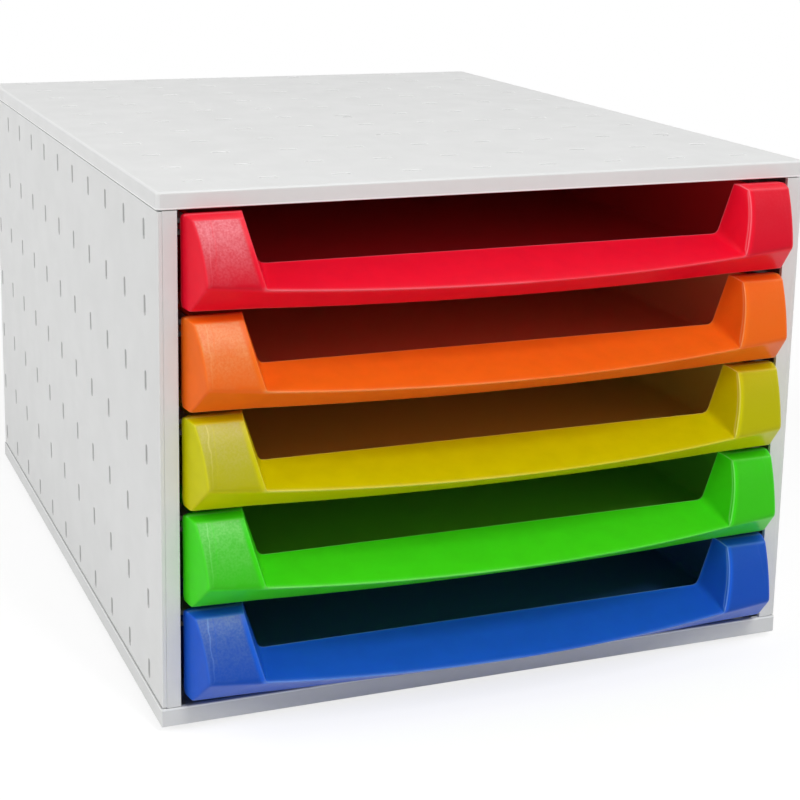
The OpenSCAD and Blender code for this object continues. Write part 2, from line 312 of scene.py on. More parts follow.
@dataclass(frozen=True)
class ClearPlastic:
    """Translucent coloured plastic with a frosted skin, painted highlights at its edges, painted sheen and
    glint lines on its posts and painted shade on its upright faces.

    Attributes:
        name: Name of the material.
        colour: Colour of the open skin in linear values.
        backed: Colour where a wall stands behind the skin, brighter as painted light.
        haze: Pale colour of the frosted post faces with their painted sheen.
        rim: Colour of the painted highlights along the edges.
        thin: Colour of the tray's thin walls.
        upright: Share of its colour that the upright faces keep under their painted shade.
        glint_lines: Places across of the painted glint lines in the post faces.
    """

    name: str
    colour: Colour
    backed: Colour
    haze: Colour
    rim: Colour
    thin: Colour
    upright: float = 0.75
    glint_lines: tuple[float, float] = (125.6 * MM, 123.3 * MM)

    def painted(self, nodes: Nodes, place: Socket, tray: float) -> Socket:
        """Colour with its flow, frost with painted sheen, painted shade, painted light in backed strips,
        painted glint lines, painted edge highlights and thin tray.

        Args:
            nodes: Nodes of the material.
            place: Position on the object.
            tray: Where the tray starts, as y.

        Returns:
            The colour's socket.
        """
        glow = nodes.add("ShaderNodeAttribute", attribute_name=EDGE_HIGHLIGHT).outputs["Fac"]
        back = nodes.add("ShaderNodeAttribute", attribute_name=BACKED_LIGHT).outputs["Fac"]
        haze = nodes.add("ShaderNodeAttribute", attribute_name=FROST_AND_SHEEN).outputs["Fac"]
        flow = nodes.step(nodes.noise(place, 9 * MM, 3.0), 0.3, 0.75, 0.0, 0.6)
        shade = nodes.mix(flow, self.colour, tuple(c * 0.9 for c in self.colour))
        axes = nodes.add("ShaderNodeSeparateXYZ", {0: place}).outputs
        inside = nodes.add("ShaderNodeAttribute", attribute_name=INSIDE).outputs["Fac"]
        inside = nodes.math("MULTIPLY", inside, nodes.step(axes[1], tray, tray + 8 * MM))
        shade = nodes.mix(inside, shade, self.thin)
        grain = nodes.step(nodes.noise(place, 0.9 * MM, 2.0), 0.3, 0.7, 0.5, 1.0)
        cloud = nodes.step(nodes.noise(place, 7 * MM, 2.0), 0.25, 0.75, 0.6, 1.0)
        # Painted shade: upright faces darker than the ledges.
        upright = nodes.add("ShaderNodeAttribute", attribute_name=UPRIGHT_SHADE).outputs["Fac"]
        shade = nodes.mix(upright, shade, tuple(c * self.upright for c in self.colour))
        # Frost with painted sheen on the post faces.
        frost = nodes.math("MULTIPLY", nodes.math("MULTIPLY", grain, cloud), haze)
        shade = nodes.mix(frost, shade, self.haze)
        # Painted light: brighter strips where a wall stands behind the skin.
        shade = nodes.mix(back, shade, self.backed)
        # Painted glint lines down the post faces, one in the highlight colour and one in the plain colour.
        across = nodes.math("ABSOLUTE", axes[0])
        across = nodes.math("ADD", across, nodes.step(nodes.noise(place, 6 * MM), 0.3, 0.7, 0.0, 0.7 * MM))
        for centre, tone in zip(self.glint_lines, (self.rim, self.colour)):
            gap = nodes.math("ABSOLUTE", nodes.math("SUBTRACT", across, centre))
            line = nodes.math("MULTIPLY", nodes.step(gap, 0.0, 0.5 * MM, 0.4, 0.0), haze)
            shade = nodes.mix(line, shade, tone)
        # Painted highlights along the edges and creases.
        return nodes.mix(glow, shade, self.rim)

    def material(self, tray: float) -> bpy.types.Material:
        """Builds the material.

        Args:
            tray: Where the tray starts, as y.

        Returns:
            The finished material.
        """
        material, nodes, shader, place = new_material(self.name)
        shade = self.painted(nodes, place, tray)
        frost = nodes.noise(place, 0.55 * MM, 2.0)
        rough = nodes.step(nodes.noise(place, 14 * MM, 2.0), 0.3, 0.7, 0.28, 0.34)
        bump = nodes.add("ShaderNodeBump", {"Height": frost, "Distance": 0.02 * MM, "Strength": 1.0})
        links = nodes.tree.links
        links.new(shade, shader.inputs["Base Color"])
        links.new(shade, shader.inputs["Subsurface Radius"])
        links.new(rough, shader.inputs["Roughness"])
        links.new(bump.outputs[0], shader.inputs["Normal"])
        shader.inputs["IOR"].default_value = 1.5
        shader.inputs["Specular IOR Level"].default_value = 0.12
        shader.inputs["Subsurface Weight"].default_value = 0.15
        shader.inputs["Subsurface Scale"].default_value = 2 * MM
        return material


@dataclass(frozen=True)
class Rubber:
    """Soft dark rubber of the feet.

    Attributes:
        name: Name of the material.
        colour: Colour in linear values.
    """

    name: str
    colour: Colour

    def material(self) -> bpy.types.Material:
        """Builds the material.

        Returns:
            The finished material.
        """
        material, nodes, shader, place = new_material(self.name)
        dust = nodes.step(nodes.noise(place, 3 * MM, 4.0), 0.5, 0.8, 0.0, 0.4)
        shade = nodes.mix(dust, self.colour, [c * 2.2 for c in self.colour])
        bump = nodes.add(
            "ShaderNodeBump",
            {"Height": nodes.noise(place, 0.5 * MM, 3.0), "Distance": 0.04 * MM, "Strength": 1.0},
        )
        nodes.tree.links.new(shade, shader.inputs["Base Color"])
        nodes.tree.links.new(bump.outputs[0], shader.inputs["Normal"])
        shader.inputs["Roughness"].default_value = 0.75
        return material


# ------------------------------------------------------------------ mesh helpers


def new_piece(name: str, mesh: bpy.types.Mesh) -> bpy.types.Object:
    """Puts a mesh into the scene as an object at the origin.

    Args:
        name: Name of the piece.
        mesh: Its mesh, already in place.

    Returns:
        The new object.
    """
    piece = bpy.data.objects.new(name, mesh)
    bpy.context.scene.collection.objects.link(piece)
    return piece


def mesh_from(name: str, shape: bmesh.types.BMesh) -> bpy.types.Mesh:
    """Turns a bmesh into a mesh and frees it.

    Args:
        name: Name of the mesh.
        shape: The bmesh.

    Returns:
        The mesh.
    """
    mesh = bpy.data.meshes.new(name)
    shape.to_mesh(mesh)
    shape.free()
    return mesh


def settled(piece: bpy.types.Object) -> bpy.types.Mesh:
    """Applies an object's modifiers and removes the object.

    Args:
        piece: Object with live modifiers.

    Returns:
        The plain mesh that the modifiers made.
    """
    graph = bpy.context.evaluated_depsgraph_get()
    graph.update()
    mesh = bpy.data.meshes.new_from_object(piece.evaluated_get(graph))
    bpy.data.objects.remove(piece)
    return mesh


def vectors(elements: bpy.types.bpy_prop_collection, name: str) -> np.ndarray:
    """Reads a vector of every vertex or face.

    Args:
        elements: Vertices or faces of a mesh.
        name: Name of the vector, such as co, normal or center.

    Returns:
        One row of three numbers for each element.
    """
    values = np.zeros(len(elements) * 3)
    elements.foreach_get(name, values)
    return values.reshape(-1, 3)


def store(mesh: bpy.types.Mesh, name: str, domain: str, values: np.ndarray) -> None:
    """Stores a number for every vertex or face, for a finish to read.

    Args:
        mesh: The mesh.
        name: Name of the attribute.
        domain: POINT or FACE.
        values: The numbers.
    """
    layer = mesh.attributes.new(name, "FLOAT", domain)
    layer.data.foreach_set("value", values.astype(np.float32))


def fitted(piece: bpy.types.Object, body: str, node: str, material: bpy.types.Material) -> None:
    """Gives a finished piece its material, its body and the node that it stands for.

    Args:
        piece: The finished piece.
        body: Body that it moves with.
        node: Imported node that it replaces.
        material: Its material.
    """
    piece.data.materials.clear()
    piece.data.materials.append(material)
    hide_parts(node)
    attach(piece, body)
    LOG.info("%s: %d faces, rides on %s", piece.name, len(piece.data.polygons), body)


def united(mesh: bpy.types.Mesh, others: Sequence[bpy.types.Mesh]) -> bpy.types.Mesh:
    """Joins closed meshes into one closed mesh.

    Args:
        mesh: First mesh.
        others: Meshes that overlap it.

    Returns:
        The union.
    """
    base = new_piece("union_base", mesh)
    tools = [new_piece(f"union_{i}", other) for i, other in enumerate(others)]
    for tool in tools:
        join = base.modifiers.new("join", "BOOLEAN")
        join.operation = "UNION"
        join.solver = "EXACT"
        join.object = tool
    result = settled(base)
    for tool in tools:
        bpy.data.objects.remove(tool)
    return result


# ------------------------------------------------------------------ pressed panels


@dataclass(frozen=True)
class PressedRows:
    """Rows of shallow marks pressed into a flat face, made by a geometry tree.

    The face lies square to Z in the panel's own frame, and the marks' long side lies along X.

    Attributes:
        columns: Number of marks along X.
        rows: Number of marks along Y.
        step_x: Spacing along X.
        step_y: Spacing along Y.
        centre: Middle of the pattern, with the height of the face.
        length: Length of a mark.
        width: Width of a mark.
        depth: Depth of a mark.
        painted_wall_shade: Painted shade on a mark's steep walls.
        painted_rim_shading: Painted shade on a mark's slanted rim below zero, painted highlight above zero.
    """

    columns: int
    rows: int
    step_x: float
    step_y: float
    centre: tuple[float, float, float]
    length: float = 8 * MM
    width: float = 2.8 * MM
    depth: float = 0.75 * MM
    painted_wall_shade: float = -0.5
    painted_rim_shading: float = -0.35

    def inputs(self, material: bpy.types.Material) -> dict[str, Any]:
        """Values of the tree's inputs by name.

        Args:
            material: Material that the tree sets.

        Returns:
            Name and value of each input.
        """
        return {
            "Columns": self.columns,
            "Rows": self.rows,
            "Step X": self.step_x,
            "Step Y": self.step_y,
            "Centre": self.centre,
            "Mark Length": self.length,
            "Mark Width": self.width,
            "Mark Depth": self.depth,
            "Material": material,
        }

    @staticmethod
    def widened(
        nodes: Nodes, mesh: Socket, top: Socket | None, height: Socket, grow: Socket, given: Any
    ) -> tuple[Socket, Socket]:
        """Raises the top of a cutter and widens it on the way.

        Args:
            nodes: Nodes of the tree.
            mesh: The cutter so far.
            top: Selection of its top face, or nothing for all faces.
            height: How far it is raised.
            grow: How far each side moves out.
            given: Outputs of the group's input node.

        Returns:
            The raised cutter and the selection of its new top.
        """
        inputs = {"Mesh": mesh, "Offset Scale": height, "Individual": False}
        if top is not None:
            inputs["Selection"] = top
        raised = nodes.add("GeometryNodeExtrudeMesh", inputs, mode="FACES")
        twice = nodes.math("MULTIPLY", grow, 2.0)
        share_x = nodes.math("DIVIDE", twice, given["Mark Length"])
        share_y = nodes.math("DIVIDE", twice, given["Mark Width"])
        shares = nodes.add("ShaderNodeCombineXYZ", {0: share_x, 1: share_y}).outputs[0]
        place = nodes.add("GeometryNodeInputPosition").outputs[0]
        offset = nodes.add("ShaderNodeVectorMath", {0: place, 1: shares}, operation="MULTIPLY").outputs[0]
        moved = nodes.add(
            "GeometryNodeSetPosition",
            {"Geometry": raised.outputs["Mesh"], "Selection": raised.outputs["Top"], "Offset": offset},
        )
        return moved.outputs[0], raised.outputs["Top"]

    @staticmethod
    def tree() -> bpy.types.NodeTree:
        """Builds the geometry tree once and reuses it.

        Returns:
            The tree that presses a grid of round-ended marks into its geometry.
        """
        name = "pressed_rows"
        if name in bpy.data.node_groups:
            return bpy.data.node_groups[name]
        tree = bpy.data.node_groups.new(name, "GeometryNodeTree")
        face = tree.interface
        face.new_socket("Geometry", in_out="OUTPUT", socket_type="NodeSocketGeometry")
        face.new_socket("Geometry", in_out="INPUT", socket_type="NodeSocketGeometry")
        for label, kind in (
            ("Columns", "Int"), ("Rows", "Int"), ("Step X", "Float"), ("Step Y", "Float"),
            ("Centre", "Vector"), ("Mark Length", "Float"), ("Mark Width", "Float"),
            ("Mark Depth", "Float"), ("Material", "Material"),
        ):
            face.new_socket(label, in_out="INPUT", socket_type=f"NodeSocket{kind}")
        nodes = Nodes(tree)
        given = nodes.add("NodeGroupInput").outputs
        draft = nodes.math("MULTIPLY", given["Mark Depth"], 0.3)
        outline = nodes.add(
            "GeometryNodeCurvePrimitiveQuadrilateral",
            {
                "Width": nodes.math("SUBTRACT", given["Mark Length"], nodes.math("MULTIPLY", draft, 2.0)),
                "Height": nodes.math("SUBTRACT", given["Mark Width"], nodes.math("MULTIPLY", draft, 2.0)),
            },
        )
        end_radius = nodes.math("MULTIPLY", nodes.math("SUBTRACT", given["Mark Width"], draft), 0.44)
        rounded = nodes.add(
            "GeometryNodeFilletCurve",
            {"Curve": outline.outputs[0], "Count": 5, "Radius": end_radius},
            mode="POLY",
        )
        flat = nodes.add("GeometryNodeFillCurve", {"Curve": rounded.outputs[0]}, mode="NGONS").outputs[0]
        rim = nodes.math("MULTIPLY", given["Mark Depth"], 0.35)
        wall = nodes.math("SUBTRACT", given["Mark Depth"], rim)
        lower, lower_top = PressedRows.widened(nodes, flat, None, wall, draft, given)
        high_rim = nodes.math("MULTIPLY", rim, 2.0)
        wide_rim = nodes.math("MULTIPLY", rim, 2.0)
        upper, _ = PressedRows.widened(nodes, lower, lower_top, high_rim, wide_rim, given)
        under = nodes.add("GeometryNodeFlipFaces", {"Mesh": flat}).outputs[0]
        block = nodes.add("GeometryNodeJoinGeometry")
        tree.links.new(upper, block.inputs[0])
        tree.links.new(under, block.inputs[0])
        closed = nodes.add(
            "GeometryNodeMergeByDistance", {"Geometry": block.outputs[0], "Distance": 1e-6}
        ).outputs[0]
        span_x = nodes.math("MULTIPLY", nodes.math("SUBTRACT", given["Columns"], 1.0), given["Step X"])
        span_y = nodes.math("MULTIPLY", nodes.math("SUBTRACT", given["Rows"], 1.0), given["Step Y"])
        grid = nodes.add(
            "GeometryNodeMeshGrid",
            {
                "Size X": span_x, "Size Y": span_y,
                "Vertices X": given["Columns"], "Vertices Y": given["Rows"],
            },
        ).outputs[0]
        sunk = nodes.add("ShaderNodeCombineXYZ", {2: nodes.math("MULTIPLY", given["Mark Depth"], -1.0)})
        middle = nodes.add(
            "ShaderNodeVectorMath", {0: given["Centre"], 1: sunk.outputs[0]}, operation="ADD"
        )
        placed = nodes.add("GeometryNodeTransform", {"Geometry": grid, "Translation": middle.outputs[0]})
        marks = nodes.add("GeometryNodeInstanceOnPoints", {"Points": placed.outputs[0], "Instance": closed})
        solid = nodes.add("GeometryNodeRealizeInstances", {0: marks.outputs[0]})
        pressed = nodes.add("GeometryNodeMeshBoolean", operation="DIFFERENCE", solver="EXACT")
        tree.links.new(given["Geometry"], pressed.inputs["Mesh 1"])
        tree.links.new(solid.outputs[0], pressed.inputs["Mesh 2"])
        real = nodes.add("GeometryNodeRealizeInstances", {0: pressed.outputs[0]})
        painted = nodes.add(
            "GeometryNodeSetMaterial", {"Geometry": real.outputs[0], "Material": given["Material"]}
        )
        nodes.add("NodeGroupOutput", {0: painted.outputs[0]})
        return tree

    def press(self, piece: bpy.types.Object, material: bpy.types.Material) -> None:
        """Adds the tree to a piece as a modifier.

        Args:
            piece: The blank panel.
            material: Material that the tree sets.
        """
        modifier = piece.modifiers.new("pressed_rows", "NODES")
        modifier.node_group = self.tree()
        values = self.inputs(material)
        for item in modifier.node_group.interface.items_tree:
            if item.in_out == "INPUT" and item.name in values:
                modifier[item.identifier] = values[item.name]

    def grade(self, painted_shades: np.ndarray, centres: np.ndarray, normals: np.ndarray) -> None:
        """Writes the painted shade and painted highlight of the faces that the marks have made.

        Args:
            painted_shades: Painted shade and highlight of each face, changed in place.
            centres: Middle of each face.
            normals: Direction of each face.
        """
        face = self.centre[2]
        reach_x = (self.columns - 1) / 2 * self.step_x + self.length
        reach_y = (self.rows - 1) / 2 * self.step_y + self.width
        near = np.abs(centres[:, 0] - self.centre[0]) < reach_x
        near &= np.abs(centres[:, 1] - self.centre[1]) < reach_y
        near &= (centres[:, 2] > face - self.depth) & (centres[:, 2] < face - 0.02 * MM)
        # Steep walls get painted shade; slanted rims get painted shade, or painted highlight where their
        # value is above zero.
        steep = near & (normals[:, 2] < 0.6)
        slanted = near & (normals[:, 2] >= 0.6) & (normals[:, 2] < 0.95)
        painted_shades[steep] = self.painted_wall_shade
        painted_shades[slanted] = self.painted_rim_shading


@dataclass
class Panel:
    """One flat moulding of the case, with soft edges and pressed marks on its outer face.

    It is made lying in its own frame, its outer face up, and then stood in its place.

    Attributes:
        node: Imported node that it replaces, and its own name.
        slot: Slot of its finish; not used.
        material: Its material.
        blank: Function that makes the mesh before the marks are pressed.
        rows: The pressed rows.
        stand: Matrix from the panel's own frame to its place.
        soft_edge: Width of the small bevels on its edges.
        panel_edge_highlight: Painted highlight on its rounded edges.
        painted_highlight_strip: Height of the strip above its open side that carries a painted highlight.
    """

    node: str
    slot: Slot
    material: bpy.types.Material
    blank: Callable[[], bpy.types.Mesh]
    rows: Sequence[PressedRows]
    stand: Matrix
    soft_edge: float = 0.16 * MM
    panel_edge_highlight: float = 0.35
    painted_highlight_strip: float = 0.0

    def grade(self, mesh: bpy.types.Mesh) -> None:
        """Stores the painted highlight and painted shade of each face, for the finish to read.

        Args:
            mesh: The panel's mesh in its own frame.
        """
        normals = vectors(mesh.polygons, "normal")
        centres = vectors(mesh.polygons, "center")
        # Rounded edges get a painted highlight, and so does the strip above the open side.
        painted_shades = np.where(np.abs(normals).max(axis=1) < 0.985, self.panel_edge_highlight, 0.0)
        low = centres[:, 2] - centres[:, 2].min()
        painted_shades[(low < self.painted_highlight_strip) & (np.abs(normals[:, 2]) < 0.5)] = 1.0
        for pattern in self.rows:
            pattern.grade(painted_shades, centres, normals)
        store(mesh, PAINTED_SHADING, "FACE", painted_shades)

    def build(self) -> None:
        """Makes the panel in its place."""
        draft = new_piece(f"{self.node}_blank", self.blank())
        for pattern in self.rows:
            pattern.press(draft, self.material)
        bevel = draft.modifiers.new("soft_edges", "BEVEL")
        bevel.width = self.soft_edge
        bevel.segments = 2
        bevel.limit_method = "ANGLE"
        bevel.angle_limit = math.radians(50)
        bevel.use_clamp_overlap = False
        mesh = settled(draft)
        self.grade(mesh)
        mesh.transform(self.stand)
        mesh.shade_smooth()
        mesh.set_sharp_from_angle(angle=math.radians(30))
        shaded = new_piece(f"{self.node}_shaded", mesh)
        shaded.modifiers.new("flat_faces", "WEIGHTED_NORMAL").keep_sharp = True
        piece = new_piece(f"{self.node}_moulding", settled(shaded))
        fitted(piece, "case", self.node, self.material)


def outline_ring(half_x: float, half_y: float, inset: float, corner: float, steps: int = 6) -> list[Point2]:
    """Points of a rectangle with round corners.

    Args:
        half_x: Half width along X.
        half_y: Half width along Y.
        inset: How far the ring is drawn in.
        corner: Corner radius before it is drawn in.
        steps: Segments of one corner.

    Returns:
        The ring's points, counter-clockwise.
    """
    radius = max(corner - inset, 0.4 * MM)
    points = []
    for turn, (sx, sy) in enumerate(((1, 1), (-1, 1), (-1, -1), (1, -1))):
        cx = sx * (half_x - inset - radius)
        cy = sy * (half_y - inset - radius)
        for k in range(steps + 1):
            angle = math.pi / 2 * (turn + k / steps)
            points.append((cx + radius * math.cos(angle), cy + radius * math.sin(angle)))
    return points


def ringed_shell(half_x: float, half_y: float, corner: float, levels: Sequence[Point2]) -> bpy.types.Mesh:
    """Closed mesh through rings of one rounded rectangle.

    Args:
        half_x: Half width along X.
        half_y: Half width along Y.
        corner: Corner radius.
        levels: Inset and height of each ring, from the inside to the outside.

    Returns:
        The mesh, with both ends filled.
    """
    shape = bmesh.new()
    rings = []
    for inset, height in levels:
        points = outline_ring(half_x, half_y, inset, corner)
        rings.append([shape.verts.new((x, y, height)) for x, y in points])
    for low, high in zip(rings, rings[1:]):
        for k in range(len(low)):
            n = (k + 1) % len(low)
            shape.faces.new((low[k], low[n], high[n], high[k]))
    shape.faces.new(rings[0][::-1])
    shape.faces.new(rings[-1])
    bmesh.ops.recalc_face_normals(shape, faces=shape.faces)
    return mesh_from("shell", shape)


@dataclass(frozen=True)
class Case:
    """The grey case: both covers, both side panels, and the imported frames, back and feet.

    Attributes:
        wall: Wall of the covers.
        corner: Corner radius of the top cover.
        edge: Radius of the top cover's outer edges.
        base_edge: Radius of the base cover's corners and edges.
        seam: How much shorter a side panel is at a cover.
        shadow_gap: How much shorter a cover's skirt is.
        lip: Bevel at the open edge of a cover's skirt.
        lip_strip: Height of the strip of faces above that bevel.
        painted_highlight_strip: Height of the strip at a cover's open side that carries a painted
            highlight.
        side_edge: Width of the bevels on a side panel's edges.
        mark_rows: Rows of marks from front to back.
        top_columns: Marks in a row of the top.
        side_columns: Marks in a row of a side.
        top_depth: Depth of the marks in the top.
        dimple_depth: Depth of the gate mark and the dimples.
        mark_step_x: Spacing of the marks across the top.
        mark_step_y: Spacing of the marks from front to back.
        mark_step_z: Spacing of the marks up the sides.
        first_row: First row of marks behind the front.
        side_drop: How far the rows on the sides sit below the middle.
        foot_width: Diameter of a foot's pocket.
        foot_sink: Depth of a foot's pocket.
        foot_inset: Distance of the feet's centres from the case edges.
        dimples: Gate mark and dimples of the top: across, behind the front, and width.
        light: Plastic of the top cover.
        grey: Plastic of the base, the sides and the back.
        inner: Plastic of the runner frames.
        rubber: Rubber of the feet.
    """

    wall: float = 2.2 * MM
    corner: float = 2 * MM
    edge: float = 1.2 * MM
    base_edge: float = 0.6 * MM
    seam: float = 0.3 * MM
    shadow_gap: float = 0.35 * MM
    lip: float = 0.25 * MM
    lip_strip: float = 0.55 * MM
    painted_highlight_strip: float = 0.75 * MM
    side_edge: float = 0.3 * MM
    mark_rows: int = 11
    top_columns: int = 9
    side_columns: int = 7
    top_depth: float = 0.6 * MM
    dimple_depth: float = 0.3 * MM
    mark_step_x: float = 30.5 * MM
    mark_step_y: float = 33.3 * MM
    mark_step_z: float = 30.3 * MM
    first_row: float = 21.5 * MM
    side_drop: float = 1.2 * MM
    foot_width: float = 16.2 * MM
    foot_sink: float = 0.8 * MM
    foot_inset: float = 22 * MM
    dimples: tuple[tuple[float, float, float], ...] = (
        (0.0, 180 * MM, 4.5 * MM),
        (-7 * MM, 120 * MM, 2.2 * MM),
        (122 * MM, 83 * MM, 2.6 * MM),
    )
    light: CasePlastic = CasePlastic("case_light", (0.745, 0.75, 0.745))
    grey: CasePlastic = CasePlastic("case_grey", (0.72, 0.725, 0.72))
    # The runner frames get painted shade behind the case's front.
    inner: CasePlastic = CasePlastic("frame_grey", (0.72, 0.725, 0.72), inside=-167 * MM, roughness=0.48)
    rubber: Rubber = Rubber("foot_rubber", (0.035, 0.035, 0.035))

    def cover_levels(self, low: float, high: float, edge: float) -> list[Point2]:
        """Rings of a cover's shell, from its inner face to its outer one.

        Args:
            low: Height of the open side.
            high: Height of the outer face.
            edge: Radius of its outer edges.

        Returns:
            Inset and height of each ring.
        """
        arc = [
            (edge * (1 - math.cos(a)), high - edge * (1 - math.sin(a)))
            for a in (math.pi / 2 * k / 5 for k in range(6))
        ]
        inner = [(self.wall, high - self.wall), (self.wall, low), (self.lip, low), (0.0, low + self.lip)]
        return inner + [(0.0, low + self.lip + self.lip_strip)] + arc

    def cover(
        self, node: str, upright: bool, finish: CasePlastic, slot: Slot, rows: Sequence[PressedRows]
    ) -> Panel:
        """One cover, open side down in its own frame.

        Args:
            node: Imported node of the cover.
            upright: True for the top cover, false for the base.
            finish: Its plastic.
            slot: Slot of its finish.
            rows: What is pressed into its outer face.

        Returns:
            The cover, ready to build.
        """
        low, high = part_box(node)
        size = high - low
        middle = (low + high) / 2
        stand = Matrix.Translation((middle.x, middle.y, low.z if upright else high.z))
        if not upright:
            stand = stand @ Matrix.Rotation(math.pi, 4, "X")
        corner = self.corner if upright else self.base_edge
        levels = self.cover_levels(self.shadow_gap, size.z, self.edge if upright else self.base_edge)

        def blank() -> bpy.types.Mesh:
            """The cover's shell before the marks are pressed."""
            return ringed_shell(size.x / 2, size.y / 2, corner, levels)

        return Panel(node, slot, finish.material(), blank, rows, stand, painted_highlight_strip=self.painted_highlight_strip)

    def top(self) -> Panel:
        """The top cover with its marks.

        Returns:
            The panel, ready to build.
        """
        low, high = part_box("top_cover")
        depth = high.y - low.y
        middle_y = self.first_row + (self.mark_rows - 1) / 2 * self.mark_step_y - depth / 2
        face = high.z - low.z
        # Painted shade on the marks' walls and painted highlight on their rims.
        marks = PressedRows(
            self.top_columns, self.mark_rows, self.mark_step_x, self.mark_step_y, (0.0, middle_y, face),
            depth=self.top_depth, painted_wall_shade=-0.4, painted_rim_shading=0.6,
        )
        dimples = [
            PressedRows(
                1, 1, 0.0, 0.0, (x, y - depth / 2, face), length=width, width=width,
                depth=self.dimple_depth,
            )
            for x, y, width in self.dimples
        ]
        return self.cover("top_cover", True, self.light, Slot.CASE_LIGHT, [marks, *dimples])

    def base(self) -> Panel:
        """The base cover with the pockets of the feet.

        Returns:
            The panel, ready to build.
        """
        low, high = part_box("base_cover")
        size = high - low
        pockets = PressedRows(
            2, 2, size.x - 2 * self.foot_inset, size.y - 2 * self.foot_inset, (0.0, 0.0, size.z),
            length=self.foot_width, width=self.foot_width, depth=self.foot_sink,
        )
        return self.cover("base_cover", False, self.grey, Slot.CASE_GREY, [pockets])

    def side(self, node: str, sign: int) -> Panel:
        """One side panel with its upright marks.

        Args:
            node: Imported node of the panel.
            sign: 1 for the right side, -1 for the left.

        Returns:
            The panel, ready to build.
        """
        low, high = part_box(node)
        size = high - low
        middle = (low + high) / 2
        middle_y = self.first_row + (self.mark_rows - 1) / 2 * self.mark_step_y - size.y / 2
        centre = (self.side_drop * sign, middle_y, size.x)
        marks = PressedRows(self.side_columns, self.mark_rows, self.mark_step_z, self.mark_step_y, centre)
        inner_x = low.x if sign > 0 else high.x
        turn = Matrix.Rotation(sign * math.pi / 2, 4, "Y")
        stand = Matrix.Translation((inner_x, middle.y, middle.z)) @ turn

        def blank() -> bpy.types.Mesh:
            """The plain plate before the marks are pressed."""
            shape = bmesh.new()
            bmesh.ops.create_cube(shape, size=1.0)
            bmesh.ops.scale(shape, vec=(size.z - 2 * self.seam, size.y, size.x), verts=shape.verts)
            bmesh.ops.translate(shape, vec=(0.0, 0.0, size.x / 2), verts=shape.verts)
            return mesh_from("plate", shape)

        return Panel(node, Slot.CASE_GREY, self.grey.material(), blank, [marks], stand, self.side_edge)

    def dress(self, nodes: Mapping[str, bpy.types.Object]) -> None:
        """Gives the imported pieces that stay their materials.

        Args:
            nodes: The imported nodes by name.
        """
        inner = self.inner.material()
        border = self.grey.material()
        rubber = self.rubber.material()
        finishes = {"runner_frame": inner, "back_panel": border, "foot": rubber}
        for name, node in nodes.items():
            for part, material in finishes.items():
                if part in name:
                    node.material_slots[0].material = material
                    LOG.info("%s: keeps its packed mesh, in %s", name, material.name)

    def build(self) -> None:
        """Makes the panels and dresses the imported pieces."""
        self.top().build()
        self.base().build()
        self.side("right_side_panel", 1).build()
        self.side("left_side_panel", -1).build()
        self.dress(frame["nodes"])


# ------------------------------------------------------------------ drawers


def between(a: Sequence[float], b: Sequence[float], t: float) -> tuple[float, ...]:
    """Point on the straight line from a to b.

    Args:
        a: Start.
        b: End.
        t: Share of the way.

    Returns:
        The point.
    """
    return tuple(p + (q - p) * t for p, q in zip(a, b))


def inset_line(points: Sequence[Point2], depth: float) -> list[Point2]:
    """Line at an equal distance on the left of an open line, with its ends kept at their first value.

    Args:
        points: The line's points.
        depth: Distance between both lines.

    Returns:
        The new line's points.
    """
    normals = []
    for a, b in zip(points, points[1:]):
        length = math.dist(a, b)
        normals.append((-(b[1] - a[1]) / length, (b[0] - a[0]) / length))
    result = [(points[0][0], points[0][1] + depth / normals[0][1])]
    for k in range(1, len(points) - 1):
        n, m = normals[k - 1], normals[k]
        scale = depth / (1 + n[0] * m[0] + n[1] * m[1])
        result.append((points[k][0] + (n[0] + m[0]) * scale, points[k][1] + (n[1] + m[1]) * scale))
    result.append((points[-1][0], points[-1][1] + depth / normals[-1][1]))
    return result


